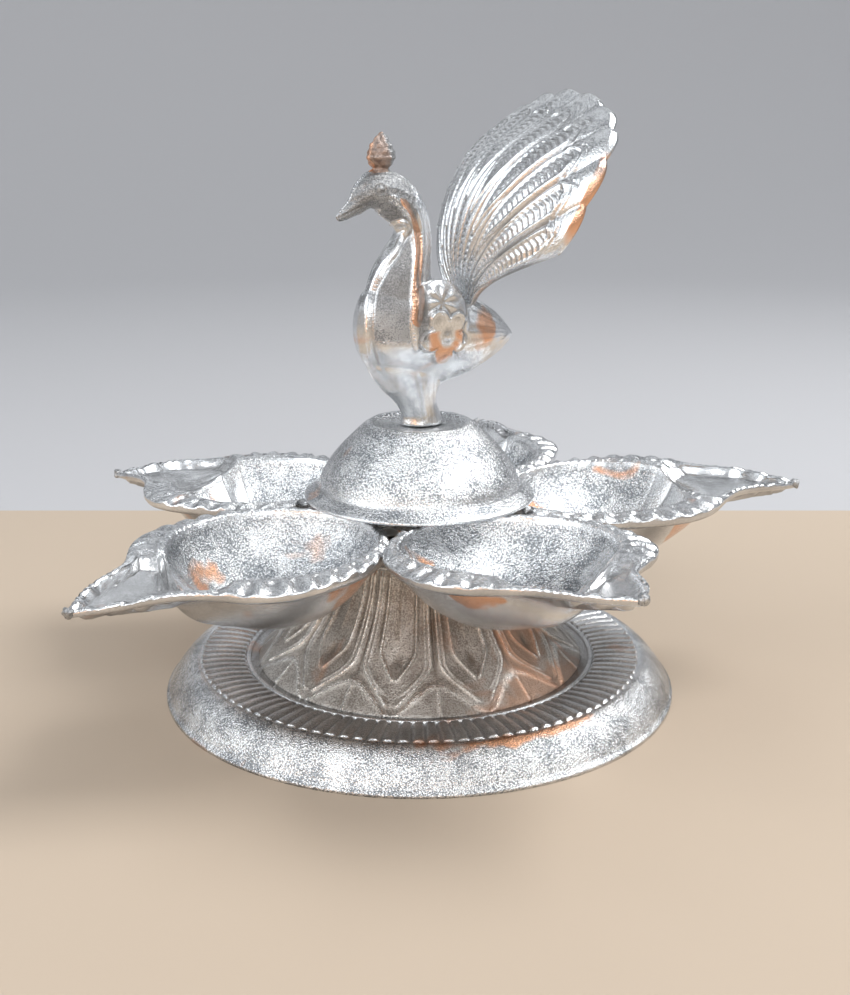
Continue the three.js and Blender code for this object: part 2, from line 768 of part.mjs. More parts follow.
function makeNut() {
  const outline = new THREE.Shape();
  const corner = nutAcrossFlats / 2 / Math.cos(30 * degree);
  for (let k = 0; k < 6; k += 1) {
    const point = [corner * Math.cos(60 * degree * k), corner * Math.sin(60 * degree * k)];
    k ? outline.lineTo(...point) : outline.moveTo(...point);
  }
  outline.holes.push(new THREE.Path().absarc(0, 0, studHole, 0, 2 * Math.PI, false));
  const options = { depth: nutThickness, bevelEnabled: false, curveSegments: 8 };
  const geometry = new THREE.ExtrudeGeometry(outline, options);
  geometry.translate(0, 0, nutBase);
  return toSolid(geometry);
}

function makeWasher() {
  const low = washerTop - washerThickness;
  const profile = [
    [studHole, low],
    [washerRadius, low],
    [washerRadius, washerTop],
    [studHole, washerTop],
  ];
  return turned(profile, 20);
}

const metal = (name, color, roughness) =>
  new THREE.MeshStandardMaterial({ name, color, roughness, metalness: 1 });
const plating = metal("silver plating", 0xe8e6e2, 0.22);
const dullPlating = metal("dull plating", 0xb4aca2, 0.34);
const steel = metal("zinc-plated steel", 0xa9abad, 0.4);

function piece(name, solid, material) {
  const mesh = new THREE.Mesh(toGeometry(solid), material);
  mesh.name = name;
  return mesh;
}

const lamp = new THREE.Group();
lamp.add(piece("base_foot", makeFoot(), plating));
lamp.add(piece("lotus_stem", makeStem(), dullPlating));
lamp.add(piece("cup_hub", makeHub(), dullPlating));

const rivet = makeRivet();
for (let n = 0; n < cupCount; n += 1) {
  const arm = new THREE.Group();
  arm.rotation.z = cupAngle(n);
  const tilt = cupTilts[n % cupTilts.length];
  const bend = lipBends[n % lipBends.length];
  arm.add(piece(`diya_cup_${n + 1}`, makeCup(tilt, bend), plating));
  arm.add(piece(`cup_rivet_${n + 1}`, rivet, steel));
  lamp.add(arm);
}

lamp.add(piece("dome_cover", makeDome(), plating));
lamp.add(piece("stud_washer", makeWasher(), steel));
lamp.add(piece("stud_nut", makeNut(), steel));
lamp.add(piece("centre_stud", rod(studRadius, nutBase - studPastNut, birdBase + studInBird), steel));

const bird = new THREE.Group();
bird.position.z = birdBase;
bird.rotation.z = birdAngle * degree;
bird.add(piece("peacock_body", makePeacock(), plating));
bird.add(piece("peacock_tail", makeTail(), plating));
lamp.add(bird);

export default lamp;
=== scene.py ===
# A plated metal oil lamp with five cups and a peacock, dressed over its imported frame.
# Shapes are worked out in millimetres and made metres when a piece is finished.
from math import atan2, copysign, cos, degrees, dist, exp, floor, hypot, pi, radians, sin, tan

import bmesh
import bpy
from mathutils import Matrix, Vector, kdtree, noise


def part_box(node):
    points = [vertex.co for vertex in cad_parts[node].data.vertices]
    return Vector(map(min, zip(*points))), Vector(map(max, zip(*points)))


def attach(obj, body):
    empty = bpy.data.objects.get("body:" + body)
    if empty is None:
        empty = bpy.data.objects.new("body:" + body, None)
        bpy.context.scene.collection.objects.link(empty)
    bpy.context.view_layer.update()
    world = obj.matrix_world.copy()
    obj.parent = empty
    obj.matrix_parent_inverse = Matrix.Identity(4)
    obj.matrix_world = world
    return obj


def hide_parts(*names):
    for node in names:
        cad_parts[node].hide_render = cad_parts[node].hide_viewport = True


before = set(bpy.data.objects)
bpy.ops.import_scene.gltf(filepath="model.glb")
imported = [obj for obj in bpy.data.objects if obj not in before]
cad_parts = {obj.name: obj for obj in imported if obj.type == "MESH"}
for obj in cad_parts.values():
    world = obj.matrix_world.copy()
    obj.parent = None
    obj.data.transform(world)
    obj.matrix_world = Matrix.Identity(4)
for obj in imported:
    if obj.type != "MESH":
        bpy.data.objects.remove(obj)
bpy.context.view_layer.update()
mm = 0.001
studHole = 2.3  # radius that clears the centre stud

def ease(x):
    t = min(1.0, max(0.0, x))
    return t * t * (3 - 2 * t)

def bell(x, width):
    return exp(-((x / width) ** 2))

def polar(spot):  # distance from the axis and angle round it
    return hypot(spot.x, spot.y), atan2(spot.y, spot.x)

def widen(vert, factor):  # moves a point out from the axis
    vert.co.x *= factor
    vert.co.y *= factor

def nodeSpan(node):  # foot, top and reach of a CAD node
    low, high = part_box(node)
    return low.z / mm, high.z / mm, high.x / mm

def curveThrough(points, steps):  # smooth curve through points of any size, steps + 1 readings
    read = []
    last = len(points) - 1
    for k in range(steps + 1):
        at = last * k / steps
        n = min(int(at), last - 1)
        t = at - n
        p0, p1, p2, p3 = (points[min(last, max(0, n + d))] for d in (-1, 0, 1, 2))
        row = []
        for a, b, c, d in zip(p0, p1, p2, p3):
            tangentIn, tangentOut = (c - a) / 2, (d - b) / 2
            row.append(
                (2 * t**3 - 3 * t**2 + 1) * b
                + (t**3 - 2 * t**2 + t) * tangentIn
                + (3 * t**2 - 2 * t**3) * c
                + (t**3 - t**2) * tangentOut
            )
        read.append(row)
    return read

# Mesh makers

def meshFrom(name, bm):
    mesh = bpy.data.meshes.new(name)
    bm.to_mesh(mesh)
    bm.free()
    return mesh

def addObject(name, data):
    item = bpy.data.objects.new(name, data)
    bpy.context.scene.collection.objects.link(item)
    return item

def spinProfile(profile, steps, closed=True):  # profile of (radius, height) pairs, turned round Z
    bm = bmesh.new()
    verts = [bm.verts.new((r, 0, z)) for r, z in profile]
    followers = verts[1:] + verts[:1] if closed else verts[1:]
    edges = [bm.edges.new(pair) for pair in zip(verts, followers)]
    bmesh.ops.spin(bm, geom=verts + edges, cent=(0, 0, 0), axis=(0, 0, 1), dvec=(0, 0, 0),
                   angle=2 * pi, steps=steps, use_merge=True)
    bmesh.ops.remove_doubles(bm, verts=bm.verts, dist=0.0005)
    bmesh.ops.recalc_face_normals(bm, faces=bm.faces)
    return bm

def growRings(bm, rings):  # a capped circle, extruded from ring to ring and capped again
    column = bm.verts.layers.int.get("column") or bm.verts.layers.int.new("column")
    made = bmesh.ops.create_circle(bm, cap_ends=True, radius=1, segments=len(rings[0]))
    for n, vert in enumerate(made["verts"]):
        vert[column] = n
        vert.co = rings[0][n]
    edges = list({edge for vert in made["verts"] for edge in vert.link_edges})
    for ring in rings[1:]:
        grown = bmesh.ops.extrude_edge_only(bm, edges=edges)["geom"]
        fresh = {item for item in grown if isinstance(item, bmesh.types.BMVert)}
        for vert in fresh:
            vert.co = ring[vert[column]]
        edges = [
            item for item in grown
            if isinstance(item, bmesh.types.BMEdge) and all(vert in fresh for vert in item.verts)
        ]
    bmesh.ops.contextual_create(bm, geom=edges)

def newMarks(bm):  # how dark (tarnish and painted shade), how frosted, and how much painted warm reflection the metal has at each point
    layers = bm.verts.layers.float
    return [layers.get(key) or layers.new(key) for key in ("tarnishAndShade", "frost", "warmPaintedReflection")]

def tint(bm, dark):  # the same darkening mark all over
    tarnishAndShade = newMarks(bm)[0]
    for vert in bm.verts:
        vert[tarnishAndShade] = dark

def finishPiece(name, bm, material, body, node):
    bmesh.ops.recalc_face_normals(bm, faces=bm.faces)
    for face in bm.faces:
        face.smooth = True
    bmesh.ops.transform(bm, matrix=Matrix.Scale(mm, 4), verts=bm.verts)
    piece = addObject(name, meshFrom(name, bm))
    piece.data.materials.append(material)
    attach(piece, body)
    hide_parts(node)

# Finishes

def newGroup(name, inputs, outputs):
    group = bpy.data.node_groups.new(name, "ShaderNodeTree")
    for label in inputs:
        kind = "NodeSocketVector" if label == "Place" else "NodeSocketFloat"
        group.interface.new_socket(label, in_out="INPUT", socket_type=kind)
    for label in outputs:
        group.interface.new_socket(label, in_out="OUTPUT", socket_type="NodeSocketFloat")
    return group, group.nodes.new("NodeGroupInput").outputs, group.nodes.new("NodeGroupOutput").inputs

def addNode(tree, kind, values=None, **settings):
    node = tree.nodes.new("ShaderNode" + kind)
    for key, value in settings.items():
        setattr(node, key, value)
    for key, value in (values or {}).items():
        node.inputs[key].default_value = value
    return node

def mathNode(tree, operation, first, second, clamp=False):
    node = addNode(tree, "Math", operation=operation, use_clamp=clamp)
    for n, item in enumerate((first, second)):
        if isinstance(item, (int, float)):
            node.inputs[n].default_value = item
        else:
            tree.links.new(item, node.inputs[n])
    return node.outputs[0]

def chain(tree, value, *steps):  # runs a value through pairs of an operation and its other value
    for operation, other in steps:
        value = mathNode(tree, operation, value, other)
    return value

def makeCastingGrain():  # frosted skin that plating leaves over a sand casting
    group, given, made = newGroup("castingGrain", ("Place", "Size", "Waves", "Frost"), ("Height", "Pits"))
    links = group.links
    fine = addNode(group, "TexNoise", {"Detail": 3.0, "Roughness": 0.6})
    pits = addNode(group, "TexVoronoi", {"Randomness": 1.0}, feature="F1")
    waves = addNode(group, "TexNoise", {"Detail": 2.0, "Roughness": 0.5})
    patches = addNode(group, "TexNoise", {"Scale": 130.0, "Detail": 3.0, "Roughness": 0.6})
    for node, size in ((fine, "Size"), (pits, "Size"), (waves, "Waves"), (patches, None)):
        links.new(given["Place"], node.inputs["Vector"])
        if size:
            links.new(given[size], node.inputs["Scale"])
    frost = chain(group, given["Frost"], ("MULTIPLY", 0.85), ("ADD", 0.15))
    skin = chain(group, pits.outputs["Distance"], ("MULTIPLY", 0.5), ("ADD", fine.outputs["Fac"]),
                 ("MULTIPLY", frost))
    swell = mathNode(group, "MULTIPLY", waves.outputs["Fac"], 1.5)
    links.new(mathNode(group, "ADD", skin, swell), made["Height"])
    drift = chain(group, patches.outputs["Fac"], ("SUBTRACT", 0.43), ("MULTIPLY", 5.0))
    speck = chain(group, fine.outputs["Fac"], ("SUBTRACT", 0.5), ("MULTIPLY", 11.0))
    speck = mathNode(group, "ADD", speck, drift, clamp=True)
    links.new(mathNode(group, "MULTIPLY", speck, frost), made["Pits"])
    return group

def makeFilmShadeAndReflection():  # dark tarnish film with painted shade where the mesh marks it, and drifting patches of painted warm reflection
    group, given, made = newGroup("filmShadeAndReflection", ("Place", "TarnishAndShade", "PaintedReflectionMark", "Reach"), ("FilmAndShade", "PaintedReflection"))
    drift = addNode(group, "TexNoise", {"Scale": 34.0, "Detail": 4.0, "Roughness": 0.55})
    warmPaintedReflection = addNode(group, "TexNoise", {"Scale": 64.6, "Detail": 3.0, "Roughness": 0.55, "Distortion": 0.5})
    for node in (drift, warmPaintedReflection):
        group.links.new(given["Place"], node.inputs["Vector"])
    filmAndShade = chain(group, drift.outputs["Fac"], ("SUBTRACT", 0.52), ("MULTIPLY", 1.5), ("ADD", given["TarnishAndShade"]))
    group.links.new(mathNode(group, "MULTIPLY", filmAndShade, given["Reach"], clamp=True), made["FilmAndShade"])
    marked = mathNode(group, "MULTIPLY", given["PaintedReflectionMark"], 0.4)
    paintedWarmth = chain(group, warmPaintedReflection.outputs["Fac"], ("SUBTRACT", 0.66), ("ADD", marked))
    group.links.new(mathNode(group, "MULTIPLY", paintedWarmth, 9.0, clamp=True), made["PaintedReflection"])
    return group

castingGrain = makeCastingGrain()
filmShadeAndReflection = makeFilmShadeAndReflection()

# In each finish the warm colour is painted warm reflection, and the film colour is tarnish film and painted shade
silverFinish = {"bright": (0.93, 0.94, 0.95, 1), "filmAndShade": (0.20, 0.20, 0.20, 1), "warmPaintedReflection": (0.86, 0.45, 0.25, 1),
                "pit": (0.17, 0.195, 0.22, 1), "pits": 0.85, "grain": 2800.0, "waves": 95.0, "bump": 0.75,
                "reach": 0.8, "paintedReflectionWeight": 0.85, "smooth": 0.12, "frosted": 0.34, "dull": 0.3}
stemFinish = {"bright": (0.84, 0.82, 0.78, 1), "filmAndShade": (0.20, 0.165, 0.135, 1), "warmPaintedReflection": (0.72, 0.34, 0.17, 1),
              "pit": (0.22, 0.20, 0.18, 1), "pits": 0.9, "grain": 2500.0, "waves": 200.0, "bump": 0.9,
              "reach": 0.9, "paintedReflectionWeight": 0.7, "smooth": 0.2, "frosted": 0.42, "dull": 0.4}
steelFinish = {"bright": (0.62, 0.62, 0.6, 1), "filmAndShade": (0.3, 0.28, 0.25, 1), "warmPaintedReflection": (0.7, 0.62, 0.45, 1),
               "pit": (0.4, 0.4, 0.4, 1), "pits": 0.4, "grain": 3200.0, "waves": 500.0, "bump": 0.3,
               "reach": 0.6, "paintedReflectionWeight": 0.3, "smooth": 0.28, "frosted": 0.45, "dull": 0.3}

def makeMetal(name, finish):
    material = bpy.data.materials.new(name)
    material.use_nodes = True
    tree = material.node_tree
    links = tree.links
    shader = tree.nodes["Principled BSDF"]
    place = addNode(tree, "TexCoord").outputs["Object"]
    tarnishAndShade, frost, paintedReflectionWeight = (addNode(tree, "Attribute", attribute_name=key).outputs["Fac"]
                             for key in ("tarnishAndShade", "frost", "warmPaintedReflection"))
    grain = addNode(tree, "Group", node_tree=castingGrain)
    grain.inputs["Size"].default_value = finish["grain"]
    grain.inputs["Waves"].default_value = finish["waves"]
    links.new(frost, grain.inputs["Frost"])
    filmAndShade = addNode(tree, "Group", node_tree=filmShadeAndReflection)
    filmAndShade.inputs["Reach"].default_value = finish["reach"]
    links.new(tarnishAndShade, filmAndShade.inputs["TarnishAndShade"])
    links.new(paintedReflectionWeight, filmAndShade.inputs["PaintedReflectionMark"])
    for group in (grain, filmAndShade):
        links.new(place, group.inputs["Place"])
    # over the bright metal go the grain's pits, then painted warm reflection, then the tarnish film with its painted
    # shade
    color = finish["bright"]
    for key, amount in (("pit", mathNode(tree, "MULTIPLY", grain.outputs["Pits"], finish["pits"])),
                        ("warmPaintedReflection", mathNode(tree, "MULTIPLY", filmAndShade.outputs["PaintedReflection"], finish["paintedReflectionWeight"])),
                        ("filmAndShade", filmAndShade.outputs["FilmAndShade"])):
        mix = addNode(tree, "Mix", data_type="RGBA")
        if key == "pit":
            mix.inputs["A"].default_value = color
        else:
            links.new(color, mix.inputs["A"])
        mix.inputs["B"].default_value = finish[key]
        links.new(amount, mix.inputs["Factor"])
        color = mix.outputs["Result"]
    links.new(color, shader.inputs["Base Color"])
    dull = mathNode(tree, "MULTIPLY", filmAndShade.outputs["FilmAndShade"], finish["dull"])
    links.new(mathNode(tree, "SUBTRACT", 1.0, dull), shader.inputs["Metallic"])
    rough = addNode(tree, "MapRange", {"To Min": finish["smooth"], "To Max": finish["frosted"]})
    mixed = mathNode(tree, "MULTIPLY", filmAndShade.outputs["FilmAndShade"], 0.6)
    mixed = mathNode(tree, "ADD", mixed, mathNode(tree, "MULTIPLY", frost, 0.5))
    links.new(mixed, rough.inputs["Value"])
    links.new(rough.outputs["Result"], shader.inputs["Roughness"])
    bump = addNode(tree, "Bump", {"Strength": finish["bump"], "Distance": 0.00026})
    links.new(grain.outputs["Height"], bump.inputs["Height"])
    links.new(bump.outputs["Normal"], shader.inputs["Normal"])
    return material

silver = makeMetal("silverPlate", silverFinish)
dullSilver = makeMetal("dullPlate", stemFinish)
steel = makeMetal("zincSteel", steelFinish)

# Foot
foot = {"flangeWidth": 9.0, "flangeHeight": 9.0, "bandWidth": 11.2, "bandRise": 0.4, "ribs": 104, "ribDepth": 0.45,
        "ribBead": 0.35, "step": 1.0, "beadWidth": 1.6, "beadHeight": 0.8, "ledge": 7.0, "lip": 1.9, "seatDrop": 1.5,
        "rimFlat": 2.4, "wall": 1.2, "stepsPerRib": 10}

def footProfile(radius, seat):
    f = foot
    bandOuter = radius - f["flangeWidth"]
    bandInner = bandOuter - f["bandWidth"]
    seatRadius = bandInner - f["beadWidth"]
    top = f["flangeHeight"]
    flangeRise = lambda x: top * sin(pi / 2 * x) ** 0.85
    bandHeight = lambda x: top + f["bandRise"] * sin(pi * x) - 0.4 * f["step"] * x
    profile = [(radius, 0), (radius, 0.5), (radius - 0.1, 0.9)]
    profile += [(radius - f["flangeWidth"] * x, flangeRise(x)) for x in (0.05, 0.12, 0.2, 0.3, 0.42, 0.55, 0.7, 0.85)]
    profile += [(bandOuter + 0.3, top - 0.1), (bandOuter + 0.1, top - 0.25)]
    profile += [(bandOuter - f["bandWidth"] * x, bandHeight(x))
                for x in (0.01, 0.03, 0.06, 0.09, 0.13, 0.2, 0.3, 0.42, 0.55, 0.68, 0.8, 0.88, 0.94, 0.98)]
    beadAt, beadBase = bandInner - f["beadWidth"] / 2, top - f["step"]
    profile += [(beadAt + 0.5 * f["beadWidth"] * cos(pi * k / 8),
                 beadBase + f["beadHeight"] * sin(pi * k / 8)) for k in range(9)]
    ledge = seatRadius - f["ledge"]
    wall = f["wall"]
    lip = seatRadius - f["lip"]  # closes up to the stem
    profile += [(lip, beadBase - 0.1), (lip - 0.1, seat + 0.2), (lip - 0.3, seat), (ledge, seat),
                (ledge, seat - wall), (seatRadius + wall, seat - wall), (bandInner - 1, top - 2.6),
                (bandOuter - 1, top - 2.2), (radius - f["rimFlat"] - 3, flangeRise(0.5) - wall),
                (radius - f["rimFlat"], 0)]
    return profile, bandOuter, bandInner

def buildFoot():
    radius = nodeSpan("base_foot")[2]
    seat = foot["flangeHeight"] - foot["seatDrop"]
    profile, bandOuter, bandInner = footProfile(radius, seat)
    bm = spinProfile(profile, foot["ribs"] * foot["stepsPerRib"])
    tarnishAndShade, frost, warmPaintedReflection = newMarks(bm)
    for vert in bm.verts:
        reach, turn = polar(vert.co)
        onFlange = ease((reach - bandOuter - 0.2) / 0.8)
        vert[frost] = 0.95 * onFlange
        # painted warm reflection on one side of the flange, beside the band
        vert[warmPaintedReflection] = bell(degrees(turn) + 62, 17) * bell(reach - bandOuter - 1.6, 1.6)
        if vert.co.z > foot["flangeHeight"] - 3 and reach < bandInner:
            vert[frost], vert[tarnishAndShade] = 0.5, 0.4
        if vert.co.z < foot["flangeHeight"] - 1.3 or not bandInner - 0.2 < reach < bandOuter + 0.6:
            continue
        across = (bandOuter - reach) / foot["bandWidth"]
        off = abs((foot["ribs"] * turn / (2 * pi)) % 1 - 0.5)  # 0 in the groove, 0.5 on the rib
        groove = bell(off, 0.13)
        edge = ease((across + 0.01) / 0.05) * ease((1.02 - across) / 0.05)
        vert.co.z += foot["ribDepth"] * edge * (0.25 * cos(pi * (0.5 - off)) - groove)
        vert.co.z += foot["ribBead"] * ease((off - 0.12) / 0.2) * bell(across - 0.035, 0.03)
        vert[frost] = 0.4
        vert[tarnishAndShade] = edge * (0.36 + 0.3 * groove) * (1 - 0.8 * bell(across - 0.035, 0.035))
    finishPiece("footPressing", bm, silver, "stand", "base_foot")

buildFoot()
print("foot made")

# Stem
stem = {"topRadius": 22.0, "wall": 1.6, "petals": 11, "turn": 260.5, "relief": 1.3, "rows": 130,
        "stepsPerPetal": 64, "flare": 1.75, "paintedReflectionSide": -38.0}

def stemWave(u, t):  # relief, darkening and frost of a petal, u from -1 to 1 across the pitch, t up the stem
    side = abs(u)
    outer = 0.10 + 0.78 * ease((t - 0.05) / 0.3) ** 0.8
    inner = 0.06 + 0.43 * ease((t - 0.22) / 0.22) ** 0.7
    started = ease((t - 0.05) / 0.03)
    ridge = bell(side - outer, 0.05) * started
    ridge = max(ridge, 0.7 * bell(side - outer + 0.13, 0.035) * ease((t - 0.12) / 0.05))
    second = bell(side - inner, 0.05) * ease((t - 0.20) / 0.04)
    inside = ease((outer - side) / 0.05) * started
    panel = ease((inner - side) / 0.04) * ease((t - 0.24) / 0.04)
    height = 0.25 * inside + 0.62 * ridge + 0.6 * second - 0.16 * panel
    height += 0.3 * panel * bell(side, 0.09) * ease((t - 0.45) / 0.1)
    drop = (u / 0.14) ** 2 + ((t - 0.33) / (0.07 if t > 0.33 else 0.045)) ** 2
    dimple = exp(-drop)
    height -= 0.7 * dimple
    between = 1 - side  # the lower tier shows between two petals as an arch with a midrib
    arch = 0.2 - 0.16 * (between / 0.8) ** 1.6
    low = (1 - inside) * ease((arch - t) / 0.03)
    edge = (1 - inside) * bell(t - arch, 0.025)
    rib = bell(between, 0.04) * (1 - inside) * ease((arch - t) / 0.05)
    height += 0.2 * low + 0.4 * edge + 0.35 * rib
    seam = bell(between, 0.05) * ease((t - 0.22) / 0.05)
    height -= 0.25 * seam
    bright = max(ridge, second, edge, rib)
    dark = 0.6 + 0.5 * dimple + 0.25 * seam - 0.75 * bright - 0.12 * panel
    fade = ease(t / 0.02) * ease((1 - t) / 0.05)
    return height * fade, min(1.0, max(0.0, dark)), 0.75 - 0.2 * bright

def buildStem():
    low, high, base = nodeSpan("lotus_stem")
    base -= stem["relief"] * 0.25
    radiusAt = lambda t: stem["topRadius"] + (base - stem["topRadius"]) * max(0.0, 1 - t) ** stem["flare"]
    rows = stem["rows"]
    profile = [(radiusAt(k / rows), low + (high - low) * k / rows) for k in range(rows + 1)]
    wall = stem["wall"]
    profile += [(studHole, high), (studHole, high - wall)]
    profile += [(radiusAt(t) - wall, low + (high - low - wall) * t) for t in (1, 0.85, 0.66, 0.5, 0.36, 0.15, 0)]
    bm = spinProfile(profile, stem["petals"] * stem["stepsPerPetal"])
    tarnishAndShade, frost, warmPaintedReflection = newMarks(bm)
    for vert in bm.verts:
        reach, turn = polar(vert.co)
        t = (vert.co.z - low) / (high - low)
        if reach < radiusAt(t) - 0.5 * wall:
            vert[tarnishAndShade] = 0.7
            continue
        turn = degrees(turn) - stem["turn"]
        pitch = 360 / stem["petals"]
        u = 2 * ((turn / pitch + 0.5) % 1 - 0.5)
        rise, vert[tarnishAndShade], vert[frost] = stemWave(u, t)
        # painted warm reflection on one side of the lower petals, less on the raised relief
        facing = (turn + stem["turn"] - stem["paintedReflectionSide"] + 180) % 360 - 180
        vert[warmPaintedReflection] = bell(facing, 26) * ease((0.62 - t) / 0.15) * (1 - 0.7 * max(0.0, rise))
        widen(vert, 1 + stem["relief"] * rise / reach)
    finishPiece("petalledStem", bm, dullSilver, "stand", "lotus_stem")

buildStem()

# Hub
def buildHub():
    low, high, radius = nodeSpan("cup_hub")
    tall = high - low
    rolls = [(radius - 0.7 + 0.7 * abs(sin(2 * pi * k / 24)) ** 0.6, low + tall * k / 24) for k in range(25)]
    profile = [(studHole, low)] + rolls + [(studHole, high)]
    bm = spinProfile(profile, 160)
    # the hub is darkened all over as painted shade under the cups
    tint(bm, 0.55)
    finishPiece("hubDisc", bm, dullSilver, "stand", "cup_hub")

buildHub()
print("stem and hub made")

# Cups
cup = {"count": 5, "firstAngle": 7.4, "gap": 0.5, "bowlRadius": 24.0, "bowlDepth": 16.0, "fullness": 2.6,
       "under": 1.6, "back": 3.0, "side": 4.7, "shoulder": 8.6, "lip": 28.7, "lipRoot": 22.4, "lipDip": 4.6,
       "lipArch": 0.8, "lipEdge": 0.9, "cord": 1.8, "rimAboveHeel": 6.8, "tilts": [3.3, 1.8, -0.8, -1.4, 3.3],
       "bends": [-3.0, -3.0, -3.2, -1.2, 2.4], "heelThickness": 1.4, "wall": 1.1, "lumps": 5.8,
       "lump": 0.95, "beads": 2.3, "columns": 420, "knob": 1.4, "lipFloor": 1.7, "heelHalf": 4.3, "rivetHole": 1.8,
       "paintedReflectionSide": 158.0, "cordRings": 22, "tooth": 0.22, "toothPitch": 2.1}

def cupOutline():  # half outline from the tip to the back, as points in the bowl's own plan
    c = cup
    shoulder = c["bowlRadius"] + c["shoulder"]
    start = radians(33)
    lip = [(c["bowlRadius"] + c["lip"], 0.0), (c["bowlRadius"] + 0.72 * c["lip"], c["lipRoot"] * 0.29),
           (c["bowlRadius"] + 0.3 * c["lip"], c["lipRoot"] / 2 + 1),
           (shoulder * cos(start), shoulder * sin(start))]
    rim = [(38, c["shoulder"]), (60, c["shoulder"]), (84, c["side"] + 0.2 * (c["shoulder"] - c["side"])),
           (104, 0.3 * c["back"] + 0.7 * c["side"]), (126, c["back"]), (180, c["back"])]
    points = curveThrough(lip, 60)
    for angle, out in curveThrough(rim, 120):
        far = c["bowlRadius"] + out
        points.append([far * cos(radians(angle)), far * sin(radians(angle))])
    return points

def evenSteps(points, steps):  # the same line, read at even distances along it
    lengths = [0.0]
    for a, b in zip(points, points[1:]):
        lengths.append(lengths[-1] + dist(a, b))
    read, n = [], 0
    for k in range(steps + 1):
        goal = lengths[-1] * k / steps
        while n < len(points) - 2 and lengths[n + 1] < goal:
            n += 1
        part = (goal - lengths[n]) / max(1e-6, lengths[n + 1] - lengths[n])
        read.append([a + (b - a) * part for a, b in zip(points[n], points[n + 1])])
    return read, lengths[-1] / steps

